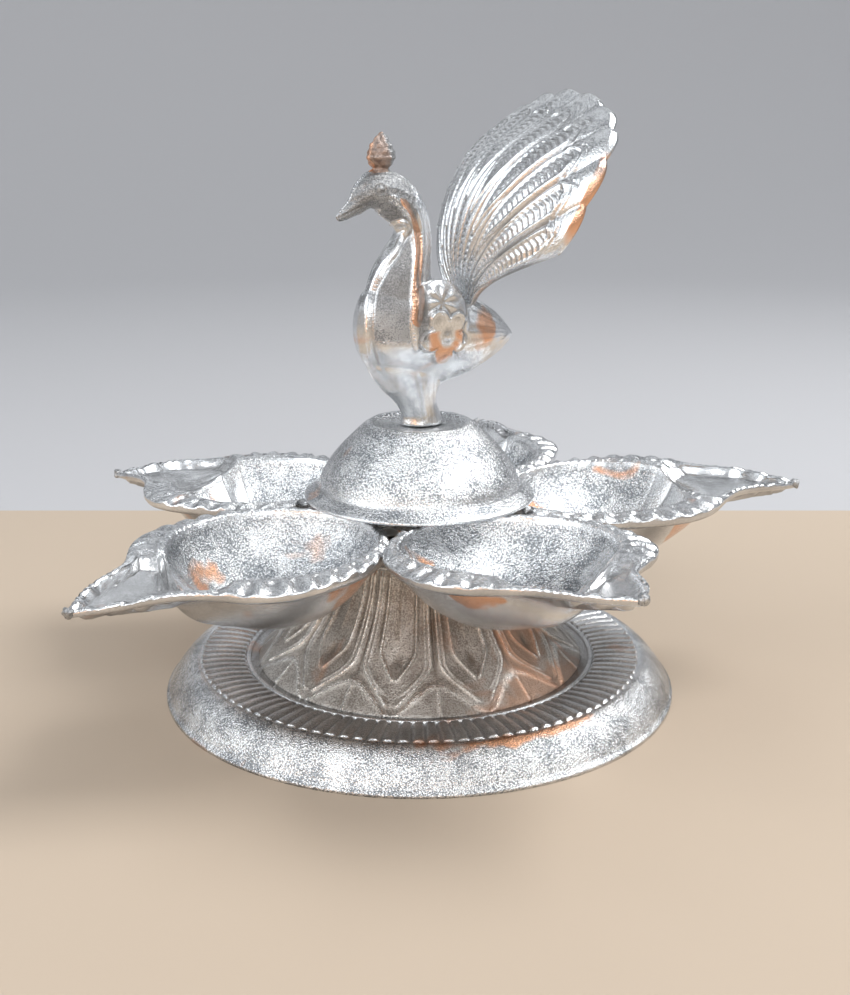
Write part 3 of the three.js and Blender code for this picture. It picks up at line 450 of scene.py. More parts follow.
def buildCup(number):
    c = cup
    angleAt = radians(c["firstAngle"] + 360 / c["count"] * number)
    tilt, bend = radians(c["tilts"][number]), c["bends"][number]
    radius = c["bowlRadius"]
    centre = (radius + c["back"] + c["gap"] / 2) / sin(pi / c["count"])
    heelBase = nodeSpan("cup_hub")[1] + 0.3
    rim = heelBase + c["rimAboveHeel"]
    rivetAt = c["heelHalf"] + c["heelHalf"] / tan(pi / c["count"]) + c["gap"]
    half, step = evenSteps(cupOutline(), c["columns"] // 2)
    outline = half + [[x, -y] for x, y in half[-2:0:-1]]
    seed = Vector((number * 7.3, 1.7, 0))

    def dip(turn):
        return c["lipDip"] * bell(turn, radians(24))

    def drop(x):
        return c["bowlDepth"] * max(0.0, 1 - x ** c["fullness"]) ** 0.9

    def settle(x, y, z):
        lift = (centre + x - rivetAt) * tan(tilt)
        along = min(1.02, max(0.0, (x - radius) / c["lip"]))
        bent = bend * along**2 + c["lipArch"] * sin(pi * min(1.0, along))
        return Vector((centre + x, y, z + lift + bent))

    rings, markings = [], []

    def addRing(place):
        ring, marking = [], []
        for k, (ox, oy) in enumerate(outline):
            x, y, z, *mark = place(k, ox, oy)
            ring.append(settle(x, y, z))
            marking.append(mark)
        rings.append(ring)
        markings.append(marking)

    def bowlAt(part, below=0.0):
        slope = (drop(part - 0.02) - drop(part)) / (0.02 * radius) if part > 0.02 else 0
        wall = below * min(2.4, hypot(1, slope))

        def place(k, ox, oy):
            turn = atan2(oy, ox)
            side = degrees(abs(turn))
            z = rim - drop(part) - dip(turn) * ease((part - 0.5) / 0.5) - wall
            reach = radius * part
            if below:
                reach += c["under"] * ease((150 - side) / 60) * part
                x, y = reach * cos(turn), reach * sin(turn)
                # the underside is darkened as painted shade, with random clouds of tarnish, and gets patches of
                # painted warm reflection
                cloud = noise.noise(Vector((x, y, 0)) * 0.075 + seed)
                return x, y, z, 0.35 + 0.9 * cloud, 0.2, 0.9 * ease((-cloud - 0.12) / 0.2)
            mouth = ease((part - 0.58) / 0.16) * ease((42 - side) / 8)
            fold = cos(radians(side) * 12.5)  # three petals that lead to the lip
            petal = 0.75 * abs(fold) ** 0.5 * mouth
            crease = bell(fold, 0.16) * mouth
            rough = 0.10 * noise.noise(Vector((ox * part, oy * part, z)) * 0.35 + seed)
            # painted warm reflection on one side of the bowl wall, less at the mouth
            facing = (degrees(turn + angleAt) + 180 - c["paintedReflectionSide"]) % 360 - 180
            paintedWarmth = bell(facing, 24) * bell(part - 0.74, 0.26) * (1 - 0.6 * mouth)
            frosted = 1 - 0.75 * mouth
            return (reach * cos(turn), reach * sin(turn), z + petal + rough,
                    0.03 + 0.55 * crease, frosted, paintedWarmth)
        return place

    def rimAt(part, rise, below=0.0, fine=False):
        def place(k, ox, oy):
            turn, far = atan2(oy, ox), hypot(ox, oy)
            side = degrees(abs(turn))
            lip = 1 - ease((side - 24) / 12)
            z = rim - dip(turn) * (1 - part) - below
            # rings under the rim are darkened as painted shade on the side that faces down
            cord, spread, dark, bare = rise * (1 - lip), 0.0, 0.4 if below else 0.05, 0.15
            along = min(k, len(outline) - k) * step
            if fine:
                sway = 0.35 * sin(along * 0.9 + number)
                lean = 0.1 * (far - radius) * part
                roll = 0.5 + 0.5 * cos(2 * pi * (along + lean) / c["lumps"] + sway)
                outerPart = ease((part - 0.2) / 0.25) * ease((1.04 - part) / 0.12)
                bumps = noise.noise(Vector((ox * 0.5, oy * 0.5, 3 * part)) + seed)
                knit = noise.noise(Vector((ox * 1.3, oy * 1.3, 4 * part)) - seed)
                rope = 1 - lip * ease((radius + 0.6 * c["lip"] - ox) / 6)
                cord += rope * (0.22 * bumps + 0.16 * knit - c["lump"] * (1 - roll) ** 1.5 * outerPart)
                spread = 0.3 * (roll - 0.5) * outerPart * (1 - lip)
                bead = 0.5 + 0.5 * cos(2 * pi * along / c["beads"])
                inner = bell(part - 0.12, 0.08) * (1 - lip)
                cord += 0.25 * bead * inner
                dark = 0.5 * (1 - roll) ** 3 * outerPart * (1 - lip) + 0.4 * bell(part - 0.27, 0.05) * (1 - lip)
                bare = 0.45 * (1 - lip)
            if not below:
                band = (far - radius) * (1 - part)  # how far in from the edge
                ridge = bell(band - 1.3, 1.2) + 0.35 * bell(band - 3.9, 0.5)
                tooth = c["tooth"] * cos(2 * pi * along / c["toothPitch"]) * bell(band - 0.3, 0.5)
                sunk = c["lipFloor"] * ease((band - 2.0) / 1.5) * ease((part - 0.03) / 0.14)
                z += lip * (c["lipEdge"] * ridge + tooth - sunk)
                dark = max(dark, lip * (0.7 * ease((band - 2.2) / 1.2) + 0.3 * bell(band - 2.9, 0.35)))
            reach = radius + (far - radius) * part + spread
            return reach * cos(turn), reach * sin(turn), z + cord, dark, bare, 0.0
        return place

    for part in (0.03, 0.12, 0.22, 0.33, 0.44, 0.54, 0.63, 0.7, 0.76, 0.82, 0.87, 0.91, 0.945, 0.97, 0.99):
        addRing(bowlAt(part))
    for n in range(c["cordRings"] + 1):
        part = n / c["cordRings"]
        crown = sin(pi * min(1, 0.08 + part * 0.9)) ** 0.55
        addRing(rimAt(part, c["cord"] * (0.15 + crown), fine=0 < n < c["cordRings"]))
    addRing(rimAt(1.004, 0.3 * c["cord"], 0.45))
    addRing(rimAt(1.0, 0.2 * c["cord"], 0.9))
    for part in (0.94, 0.82, 0.65, 0.45, 0.25):
        addRing(rimAt(part, 0.0, c["wall"] + 0.25))
    for part in (0.985, 0.96, 0.93, 0.89, 0.84, 0.78, 0.7, 0.6, 0.48, 0.35, 0.2, 0.05):
        addRing(bowlAt(part, c["wall"]))
    bm = bmesh.new()
    growRings(bm, rings)
    tarnishAndShade, frost, warmPaintedReflection = newMarks(bm)
    bm.verts.ensure_lookup_table()
    count = len(outline)
    column = bm.verts.layers.int["column"]
    for n, vert in enumerate(bm.verts):
        vert[tarnishAndShade], vert[frost], vert[warmPaintedReflection] = markings[n // count][vert[column]]

    tip = settle(radius + c["lip"] - 0.6, 0, rim)  # the rough drop that the sprue left at the tip
    knob = bmesh.ops.create_icosphere(bm, subdivisions=4, radius=c["knob"])["verts"]
    for vert in knob:
        vert.co *= 0.9 + 0.3 * noise.noise(vert.co * 0.9 + seed)
        vert.co += tip
        vert[tarnishAndShade], vert[frost] = 0.75, 1.0
    low, high = heelBase, heelBase + c["heelThickness"]
    profile = [(c["rivetHole"], low), (c["heelHalf"], low), (c["heelHalf"], high), (c["rivetHole"], high)]
    heel = spinProfile(profile, 64)
    sunk = (c["rimAboveHeel"] - c["heelThickness"] - 0.5) / c["bowlDepth"]
    reach = radius * (1 - sunk ** (1 / 0.9)) ** (1 / c["fullness"])
    for vert in heel.verts:
        if vert.co.x > 0.01 and polar(vert.co)[0] > c["heelHalf"] - 0.1:
            vert.co.x += centre - reach - rivetAt - c["heelHalf"]
        vert.co.x += rivetAt
    shell = meshFrom("heelTab", heel)
    bm.from_mesh(shell)
    bpy.data.meshes.remove(shell)
    bmesh.ops.rotate(bm, verts=bm.verts, cent=(0, 0, 0), matrix=Matrix.Rotation(angleAt, 3, "Z"))
    name = "diya_cup_" + str(number + 1)
    finishPiece("wickCup" + str(number + 1), bm, silver, "stand", name)

for number in range(cup["count"]):
    buildCup(number)
print("cups made")

# Domed cover
dome = {"brimWidth": 3.7, "brimDrop": 2.1, "brimThickness": 0.8, "topRadius": 12.9, "curve": 1.55, "lip": 0.8,
        "lipWidth": 1.2, "wall": 1.2}

def buildDome():
    d = dome
    low, high, brim = nodeSpan("dome_cover")
    foot = brim - d["brimWidth"]
    base = low + d["brimThickness"] + d["brimDrop"]
    top = high - d["lip"]

    def radiusAt(t):
        return d["topRadius"] + (foot - d["topRadius"]) * (1 - max(0.0, t) ** d["curve"])

    edge = low + d["brimThickness"]
    profile = [(brim - 0.3, low), (brim - 0.06, low + 0.1), (brim, low + 0.35), (brim - 0.05, low + 0.65),
               (brim - 0.25, edge + 0.05)]
    profile += [(brim - d["brimWidth"] * x, edge + d["brimDrop"] * x**1.1) for x in (0.25, 0.45, 0.65, 0.8, 0.9)]
    profile += [(foot + 0.3, base + 0.02), (foot + 0.12, base + 0.3)]
    profile += [(radiusAt(t), base + (high - base) * t)
                for t in (0.05, 0.1, 0.18, 0.27, 0.36, 0.46, 0.56, 0.66, 0.76, 0.85, 0.92, 0.96)]
    lipInner = d["topRadius"] - d["lipWidth"]
    profile += [(d["topRadius"] + 0.22, high - 0.25), (d["topRadius"] - 0.2, high), (lipInner, high - 0.05),
                (lipInner - 0.4, top + 0.1), (9.0, top), (6.0, top), (studHole, top), (studHole, top - d["wall"]),
                (radiusAt(1) - d["wall"], top - d["wall"])]
    inner = low + d["brimDrop"]
    profile += [(radiusAt(t) - d["wall"], inner + (top - d["wall"] - inner) * t)
                for t in (0.85, 0.7, 0.5, 0.3, 0.12, 0.0)]
    bm = spinProfile(profile, 256)
    tarnishAndShade, frost = newMarks(bm)[:2]
    for vert in bm.verts:
        reach = polar(vert.co)[0]
        dents = 0.16 * noise.noise(vert.co * 0.16) + 0.1 * noise.noise(vert.co * 0.45)
        vert.co += vert.co.normalized() * dents * ease((reach - 4) / 4) * ease((foot - reach) / 3)
        vert[tarnishAndShade] = 0.45 * bell(vert.co.z - base, 0.35) + 0.4 * bell(vert.co.z - top, 0.3)
        vert[frost] = 1 - 0.6 * bell(reach - brim, 0.8) - 0.5 * bell(reach - foot, 0.5)
    finishPiece("domedCover", bm, silver, "stand", "dome_cover")

buildDome()
print("dome made")

# Peacock
peacock = {
    "turn": 210.0, "keel": 1.25, "voxel": 0.3,
    "torso": [  # forward of the stud, top, bottom, half width
        (-27.1, 20.2, 20.0, 0.15), (-25.4, 22.4, 17.9, 1.5), (-21.5, 26.3, 15.1, 3.6), (-16.5, 29.5, 12.6, 5.9),
        (-10.5, 32.4, 10.6, 7.8), (-4.0, 35.3, 9.4, 8.9), (3.0, 37.2, 9.2, 8.9), (9.0, 37.6, 11.0, 7.7),
        (13.5, 34.3, 14.6, 5.6), (16.2, 30.2, 18.6, 3.0), (17.3, 25.0, 24.6, 0.15)],
    "neck": [  # forward, height, half depth, half width
        (5.6, 29.5, 9.6, 6.9), (4.9, 34.6, 8.4, 6.3), (3.7, 39.2, 6.9, 5.3), (2.1, 43.6, 5.4, 4.3),
        (1.8, 47.0, 4.7, 3.8), (2.9, 50.4, 4.9, 3.9), (6.0, 54.0, 5.4, 4.3), (10.4, 56.4, 5.1, 4.6),
        (14.2, 55.6, 3.9, 3.6), (17.2, 53.0, 2.3, 2.0), (19.8, 51.3, 1.5, 1.3), (21.8, 50.2, 0.75, 0.6)],
    "leg": [  # height, forward, half depth, half width
        (0, -0.6, 5.8, 5.1), (1.2, -0.6, 5.4, 4.8), (2.8, -0.2, 5.1, 4.5), (6, 1.2, 5.7, 4.6), (10, 2.7, 8.5, 5.4),
        (15, 3.2, 11.2, 6.4), (18.5, 3.8, 10.8, 5.6), (22, 4.4, 9.0, 3.6)],
    "wing": {"at": -1.0, "above": 25.8, "length": 17.5, "height": 20.5, "relief": 1.1},
    "crest": {"at": 10.1, "base": 58.5, "height": 11.3, "radius": 3.5},
    "lines": {  # drawn on the bird's side view
        "breast": [(6.2, 47.7), (9.0, 43.6), (13.0, 38.6), (16.3, 31.7), (17.4, 24.6), (16.4, 18.2), (12.6, 11.4),
                   (6.8, 5.8)],
        "ribFront": [(9.4, 54.6), (6.6, 52.6), (4.5, 49.2), (3.5, 45.4), (3.9, 40.2), (5.0, 35.0), (6.0, 28.8),
                     (6.3, 25.0), (5.5, 20.0)],
        "ribBack": [(5.4, 54.6), (3.0, 51.9), (1.6, 48.1), (1.5, 43.4), (2.6, 38.2), (3.8, 32.0), (4.7, 27.2)],
        "step": [(-7.8, 36.0), (-8.7, 28.1), (-7.3, 25.3), (-7.4, 21.0)],
        "belly": [(-24.1, 20.1), (-17.7, 16.5), (-12.3, 14.4), (-6.4, 12.9), (-5.3, 10.0)],
        "mouth": [(21.8, 50.6), (19.2, 51.6), (15.6, 53.3)],
        "leg0": [(3.5, 14.0), (2.0, 10.0), (0.8, 6.0), (0.2, 1.2)],
        "leg1": [(-2.4, 13.0), (-2.8, 8.0), (-3.2, 3.5), (-3.6, 1.2)],
    },
    "eye": (12.4, 56.9),
}

def ovalRings(stations, sides, place):
    rings = []
    for n in range(len(stations)):
        ring = []
        for k in range(sides):
            turn = 2 * pi * k / sides
            wide = copysign(abs(cos(turn)) ** peacock["keel"], cos(turn))
            ring.append(place(stations, n, wide, sin(turn)))
        rings.append(ring)
    return rings

def torsoPoint(stations, n, wide, high):
    at, top, bottom, half = stations[n]
    return Vector((at, half * wide, (top + bottom) / 2 + (top - bottom) / 2 * high))

def neckPoint(stations, n, wide, high):
    at, height, deep, half = stations[n]
    before, after = stations[max(0, n - 1)], stations[min(len(stations) - 1, n + 1)]
    along = Vector((after[0] - before[0], after[1] - before[1])).normalized()
    return Vector((at + deep * high * along.y, half * wide, height - deep * high * along.x))

def legPoint(stations, n, wide, high):
    height, at, deep, half = stations[n]
    return Vector((at + deep * high, half * wide, height))

def lineTree(points, steps=60):  # tree of places in the bird's side view
    tree = kdtree.KDTree(steps + 1)
    for n, (x, z) in enumerate(curveThrough(points, steps)):
        tree.insert((x, 0, z), n)
    tree.balance()
    return tree

def birdRelief(spot, normal, trees):  # rise along the normal, darkening, frost and painted warm reflection of a place on the bird
    x, side, z = spot
    p = peacock
    flat = (x, 0, z)
    facing = ease((abs(normal.y) - 0.12) / 0.3)
    away = {key: tree.find(flat)[2] for key, tree in trees.items()}
    rise, dark, frosted, paintedWarmth = 0.0, 0.08, 0.15, 0.0
    onBreast = ease((z - 13) / 5) * facing
    rise += (0.38 * bell(away["breast"] - 1.3, 0.5) - 0.3 * bell(away["breast"] - 2.3, 0.35)) * onBreast
    dark += 0.6 * bell(away["breast"] - 2.3, 0.4) * onBreast
    onNeck = ease((53.5 - z) / 1.5) * facing
    rise += 0.42 * (bell(away["ribFront"], 0.35) + bell(away["ribBack"], 0.35)) * onNeck
    dark += 0.45 * (bell(away["ribFront"] - 0.75, 0.25) + bell(away["ribBack"] - 0.75, 0.25)) * onNeck
    # painted warm reflection on the strip between the neck ribs
    strip = ease((2.3 - away["ribFront"] - 0.3 * away["ribBack"]) / 0.6) * ease((2.3 - away["ribBack"]) / 0.5)
    paintedWarmth += 1.1 * strip * facing * ease((56 - z) / 2)
    pane = ease((away["breast"] - 2.4) / 0.5) * ease((away["ribFront"] - 0.8) / 0.4) * facing
    pane *= ease((x - 2.2) / 1.5) * ease((z - 20.0) / 3)
    frosted += 0.85 * pane
    dark += 0.8 * pane
    rise -= 0.25 * pane
    # painted shadow along the step behind the wing
    rise -= 0.5 * bell(away["step"], 0.45) * facing
    dark += 0.8 * bell(away["step"], 0.45) * facing
    rise += 0.2 * bell(away["belly"], 0.6) * facing
    for key in ("leg0", "leg1"):
        rise += 0.12 * bell(away[key], 0.6) * facing * ease((15 - z) / 2)
        dark += 0.2 * bell(away[key] - 1.1, 0.35) * facing * ease((15 - z) / 2)
    wingAt = ease((8.8 - hypot((x + 1.4) * 1.05, (z - 25.4) * 0.88)) / 0.7) * facing
    onWing = wingAt * ease((abs(side) - 5.0) / 1.2)
    if onWing > 0:
        low, high = (x + 2.0, z - 22.6), (x + 0.8, z - 30.8)  # a five-petalled flower under a fan of leaves
        reach, turn = hypot(*low), atan2(low[1], low[0])
        petal = 3.9 + 3.0 * abs(cos(2.5 * turn + 0.5)) ** 0.7
        flower = ease((petal - reach) / 0.35)
        outline = bell(petal - reach - 0.45, 0.3)
        rise += onWing * (0.35 * flower + 0.34 * outline - 0.15 * bell(reach - 2.4, 1.2) + 0.3 * bell(reach, 0.9))
        dark += onWing * (0.7 * bell(petal - reach + 0.3, 0.3) + 0.25 * bell(reach - 1.2, 0.3))
        # painted warm reflection on the flower's petals
        paintedWarmth += onWing * 0.75 * flower * bell(reach - 3.6, 2.2) * ease((25.5 - z) / 2)
        reach, turn = hypot(*high), atan2(high[1], high[0])
        if z > 26.5:
            leaf = 0.5 + 0.5 * cos(7 * turn)
            rise += onWing * (1 - flower) * 0.42 * leaf * bell(reach - 3.0, 2.0)
            dark += onWing * (1 - flower) * 0.5 * (1 - leaf) ** 3 * bell(reach - 3.0, 2.0)
    if x < -8.5:  # the rump's feather lines draw together at its point
        rank = (z - 20.2) / max(0.8, 0.42 * (x + 28.5)) * 3.2
        line = 0.5 + 0.5 * cos(2 * pi * rank)
        rise += 0.06 * line * facing
        dark += 0.25 * (1 - line) ** 6 * facing * ease((z - 24) / 2)
        # painted warm reflection on the rump
        paintedWarmth += facing * bell(hypot(x + 15.5, z - 24.0), 5.0)
    rise -= 0.4 * bell(away["mouth"], 0.28) * facing
    dark += 0.7 * bell(away["mouth"], 0.4)
    ex, ez = x - p["eye"][0], z - p["eye"][1]
    eye = hypot(ex, ez)
    rise += (0.3 * bell(eye, 0.75) + 0.16 * bell(eye - 1.55, 0.3) - 0.15 * bell(eye - 1.05, 0.25)) * facing
    dark += 0.35 * bell(eye - 1.05, 0.3)
    crest = p["crest"]
    if z > crest["base"] + 2.2 and abs(x - crest["at"]) < 5:
        turn = atan2(side, x - crest["at"])
        up = (z - crest["base"]) / 1.5
        row = floor(up)
        scale = abs(sin(3.5 * turn + (row % 2) * pi / 2)) * sin(pi * (up - row))
        rise += 0.32 * scale - 0.1 + 0.35 * noise.noise(spot * 0.6)
        dark += 0.5 * (1 - scale)
        # the crest gets painted warm reflection, more at its front
        frosted, paintedWarmth = 0.8, paintedWarmth + 0.55 * ease((x - crest["at"] + 1.5) / 2) + 0.25
    elif z > 50:  # small chased feathers on the crown and the hind neck
        scales = sin(z * 2.6 + x * 0.8) * sin(side * 2.8 + x * 1.3)
        rise += 0.1 * scales
        frosted += 0.7 * ease((z - 50) / 3)
    rise += 0.06 * noise.noise(spot * 0.5)
    return rise, min(1.0, max(0.0, dark)), min(1.0, frosted), min(1.2, paintedWarmth)

def placeBird(bm):  # turns a part of the bird its way and sets it on the cover
    facing = Matrix.Rotation(radians(peacock["turn"]), 3, "Z")
    bmesh.ops.rotate(bm, verts=bm.verts, cent=(0, 0, 0), matrix=facing)
    bmesh.ops.translate(bm, verts=bm.verts, vec=(0, 0, nodeSpan("peacock_body")[0]))

def buildPeacock():
    p = peacock
    bm = bmesh.new()
    growRings(bm, ovalRings(curveThrough(p["torso"], 60), 48, torsoPoint))
    growRings(bm, ovalRings(curveThrough(p["neck"], 80), 40, neckPoint))
    growRings(bm, ovalRings(curveThrough(p["leg"], 24), 40, legPoint))
    wing = p["wing"]
    half = max(station[3] for station in p["torso"])
    for side in (-1, 1):
        made = bmesh.ops.create_icosphere(bm, subdivisions=5, radius=1)["verts"]
        thick = 2 * wing["relief"]
        bmesh.ops.scale(bm, verts=made, vec=(wing["length"] / 2, thick + 1, wing["height"] / 2))
        beside = side * (half - thick + wing["relief"] - 1)
        bmesh.ops.translate(bm, verts=made, vec=(wing["at"], beside, wing["above"]))
    crest = p["crest"]
    tall, wide = crest["height"], crest["radius"]
    outline = curveThrough([(0.5 * wide, -1), (0.5 * wide, 0.2 * tall), (0.9 * wide, 0.38 * tall),
                            (wide, 0.52 * tall), (0.72 * wide, 0.74 * tall), (0.36 * wide, 0.9 * tall),
                            (0, 0.98 * tall)], 40)
    cone = spinProfile([(0, -1)] + [(max(0, r), z) for r, z in outline], 48, closed=False)
    bmesh.ops.translate(cone, verts=cone.verts, vec=(crest["at"], 0, crest["base"]))
    block = meshFrom("peacockBlock", cone)
    bm.from_mesh(block)
    bmesh.ops.recalc_face_normals(bm, faces=bm.faces)
    bm.to_mesh(block)
    bm.free()
    lump = addObject("peacockBlock", block)
    remesh = lump.modifiers.new("fuse", "REMESH")
    remesh.mode = "VOXEL"
    remesh.voxel_size = p["voxel"]
    soften = lump.modifiers.new("soften", "SMOOTH")
    soften.factor = 0.5
    soften.iterations = 5
    fused = bpy.data.meshes.new_from_object(lump.evaluated_get(bpy.context.evaluated_depsgraph_get()))
    bpy.data.objects.remove(lump)
    bpy.data.meshes.remove(block)
    bm = bmesh.new()
    bm.from_mesh(fused)
    bpy.data.meshes.remove(fused)
    bm.normal_update()
    trees = {key: lineTree(points) for key, points in p["lines"].items()}
    tarnishAndShade, frost, warmPaintedReflection = newMarks(bm)
    moves = []
    for vert in bm.verts:
        rise, vert[tarnishAndShade], vert[frost], vert[warmPaintedReflection] = birdRelief(vert.co, vert.normal, trees)
        fade = ease(vert.co.z / 0.8)
        moves.append(vert.co + vert.normal * rise * fade)
    for vert, spot in zip(bm.verts, moves):
        vert.co = spot
    placeBird(bm)
    finishPiece("peacockCasting", bm, silver, "peacock", "peacock_body")

buildPeacock()
print("peacock made")

# Tail fan
fan = {"feathers": 11, "back": 13.5, "height": 28.1, "length": 63.2, "spread": 63.6, "roll": 1.6, "yaw": -8.0,
       "leanAtRoot": 110.5, "leanAtTip": 34.5, "bendLength": 45.6, "dish": -0.579, "shortening": 0.412,
       "opening": 0.16, "rootWidth": 3.4, "thickness": 1.5, "scallop": 1.1, "crown": 0.7,
       "outSteps": 220, "featherSteps": 24, "barb": 1.55}

def fanPlace(out, across, lift):
    f = fan
    scallop = f["scallop"] * (1 - abs(sin(pi * f["feathers"] * (across + 1) / 2)) ** 0.8)
    reach = f["length"] * (1 - f["shortening"] * across**2) - scallop * ease((out - 0.8) * 5)
    turn = radians(f["spread"]) * across * (1 - f["opening"] * (1 - out) ** 2) + radians(f["roll"])
    far = reach * out
    up, side = far * cos(turn), far * sin(turn) + across * f["rootWidth"] * (1 - out) ** 2
    low, high = radians(f["leanAtRoot"]), radians(f["leanAtTip"])
    bend = (high - low) / f["bendLength"]
    curved = min(up, f["bendLength"])
    lean = low + bend * curved
    back = (sin(lean) - sin(low)) / bend + max(up - f["bendLength"], 0) * cos(high)
    rise = (cos(low) - cos(lean)) / bend + max(up - f["bendLength"], 0) * sin(high)
    x = -back + f["dish"] * side * side / f["length"] + lift * sin(lean)
    yaw = radians(f["yaw"])
    x, side = x * cos(yaw) - side * sin(yaw), x * sin(yaw) + side * cos(yaw)
    return Vector((x - f["back"], side, f["height"] + rise + lift * cos(lean)))

def featherRelief(out, across):
    f = fan
    spot = (across + 1) / 2 * f["feathers"]
    feather = min(f["feathers"] - 1, int(spot))
    v = 2 * (spot - feather) - 1
    side = abs(v)
    middle = 1 - abs(2 * (feather + 0.5) / f["feathers"] - 1)
    start = 0.14 + 0.24 * middle
    width = 0.62 * ease((out - start) / 0.3)
    if out > 0.78:
        width *= max(0.0, 1 - ((out - 0.78) / 0.1) ** 2) ** 0.5
    far = f["length"] * (1 - f["shortening"] * across**2) * out
    crown = f["crown"] * cos(pi * v / 2) ** 0.8 * ease(out / 0.25)
    fade = ease(out / 0.08)
    opened = ease((out - start) / 0.05) * (1 if width > 0.03 else 0)
    groove = bell(1 - side, 0.1) * (1 - 0.5 * ease((out - 0.9) / 0.03))
    band = bell(side - width - 0.1, 0.09) * opened
    line = bell(side - width - 0.27, 0.05) * opened
    inLeaf = ease((width - 0.06 - side) / 0.08) * opened
    ladder = ease((0.34 - side) / 0.1) * (1 - opened) * ease((out - 0.05) / 0.05)
    barbs = (0.5 - 0.5 * cos(2 * pi * (far / f["barb"] + 0.8 * side))) ** 1.5
    arch = 0.905 - 0.05 * v * v
    rim = bell(out - arch, 0.011) + 0.8 * bell(out - arch + 0.045, 0.009)
    border = ease((out - arch - 0.012) / 0.02)
    comb = inLeaf * (0.35 + 0.65 * ease((out - 0.55) / 0.2))
    rise = crown + fade * (0.34 * band - 0.42 * groove)
    rise -= 0.22 * line * fade + 0.36 * (comb + ladder) * barbs * (1 - border) + 0.12 * inLeaf * (1 - border)
    rise += 0.42 * rim + 0.25 * border * (1 - 0.5 * side)
    dark = 0.02 + groove + 0.75 * line + 0.9 * (comb + 0.7 * ladder) * barbs * (1 - border)
    dark -= 0.3 * rim + 0.25 * border
    return rise, min(1.0, max(0.0, dark * fade))

def fanSheet(bm, columns, rows, lift, share, marking):  # a grid laid on the fan and carved
    tarnishAndShade, frost, warmPaintedReflection = newMarks(bm)
    bmesh.ops.create_grid(bm, x_segments=columns, y_segments=rows, size=1)
    if share < 1:  # the rear has half the columns, and its rim is cut to meet the front's
        rim = [edge for edge in bm.edges if edge.is_boundary]
        bmesh.ops.subdivide_edges(bm, edges=rim, cuts=1)
    for vert in bm.verts:
        across, out = vert.co.x, (vert.co.y + 1) / 2
        rise, dark = featherRelief(out, across)
        edge = ease((1 - abs(across)) / 0.02) * ease((1 - out) / 0.012)
        vert.co = fanPlace(out, across, lift * (0.45 + 0.55 * edge) + rise * share * edge)
        vert[tarnishAndShade] = dark * marking
        vert[frost] = 0.3
        # painted warm reflection along the fan's outer edge, away from the middle
        vert[warmPaintedReflection] = 0.45 * bell(out - 1, 0.03) * ease((abs(across) - 0.25) / 0.3)

def buildTail():
    f = fan
    half = f["thickness"] / 2
    columns = f["feathers"] * f["featherSteps"]
    bm = bmesh.new()
    fanSheet(bm, columns // 2, f["outSteps"] // 2, -half, 0.35, 0.6)
    rear = meshFrom("tailRear", bm)
    bm = bmesh.new()
    fanSheet(bm, columns, f["outSteps"], half, 1.0, 1.0)
    bm.from_mesh(rear)
    bpy.data.meshes.remove(rear)
    bmesh.ops.bridge_loops(bm, edges=[edge for edge in bm.edges if edge.is_boundary])
    placeBird(bm)
    finishPiece("tailFan", bm, silver, "peacock", "peacock_tail")

buildTail()
print("tail made")

# Fasteners
fastener = {"headSteps": 48, "thread": 0.7, "threadDepth": 0.22}

def buildRivets():
    for number in range(cup["count"]):
        node = "cup_rivet_" + str(number + 1)
        least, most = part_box(node)
        low, high = least.z / mm, most.z / mm
        x, y = (least.x + most.x) / 2 / mm, (least.y + most.y) / 2 / mm
        head, tall, shank = (most.x - least.x) / 2 / mm, 1.2, 1.5
        profile = [(0, low), (head * 0.76, low), (head * 0.82, low + 0.1), (head * 0.84, low + 0.3),
                   (head * 0.84, low + tall - 0.1), (head * 0.8, low + tall), (shank, low + tall),
                   (shank, high - tall), (head * 0.97, high - tall), (head, high - tall + 0.1),
                   (head, high - tall + 0.2)]
        profile += [(head * cos(a), high - tall + 0.2 + (tall - 0.2) * sin(a)) for a in (0.3, 0.6, 0.9, 1.2, 1.4)]
        profile += [(0, high)]
        bm = spinProfile(profile, fastener["headSteps"], closed=False)
        tarnishAndShade = newMarks(bm)[0]
        for vert in bm.verts:
            vert[tarnishAndShade] = 0.5
            if vert.co.z > high - tall + 0.25:  # hammered a little off round
                vert.co += 0.12 * noise.noise_vector(vert.co * 0.8 + Vector((number, 0, 0)))
        bmesh.ops.translate(bm, verts=bm.verts, vec=(x, y, 0))
        finishPiece("cupRivet" + str(number + 1), bm, steel, "stand", node)

def buildStud():
    low, high, radius = nodeSpan("centre_stud")
    rows = int((high - low) * 8)
    profile = [(0, low)] + [(radius, low + (high - low) * k / rows) for k in range(rows + 1)] + [(0, high)]
    bm = spinProfile(profile, 32, closed=False)
    tarnishAndShade = newMarks(bm)[0]
    for vert in bm.verts:
        reach, turn = polar(vert.co)
        if reach < radius * 0.5:
            continue
        wave = abs(2 * ((vert.co.z / fastener["thread"] - turn / (2 * pi)) % 1) - 1)
        end = ease((min(vert.co.z - low, high - vert.co.z)) / 0.6)
        depth = fastener["threadDepth"] * (1 - wave * end)
        widen(vert, (reach - depth) / reach)
        vert[tarnishAndShade] = 0.8 * (1 - wave)
    finishPiece("threadedStud", bm, steel, "peacock", "centre_stud")

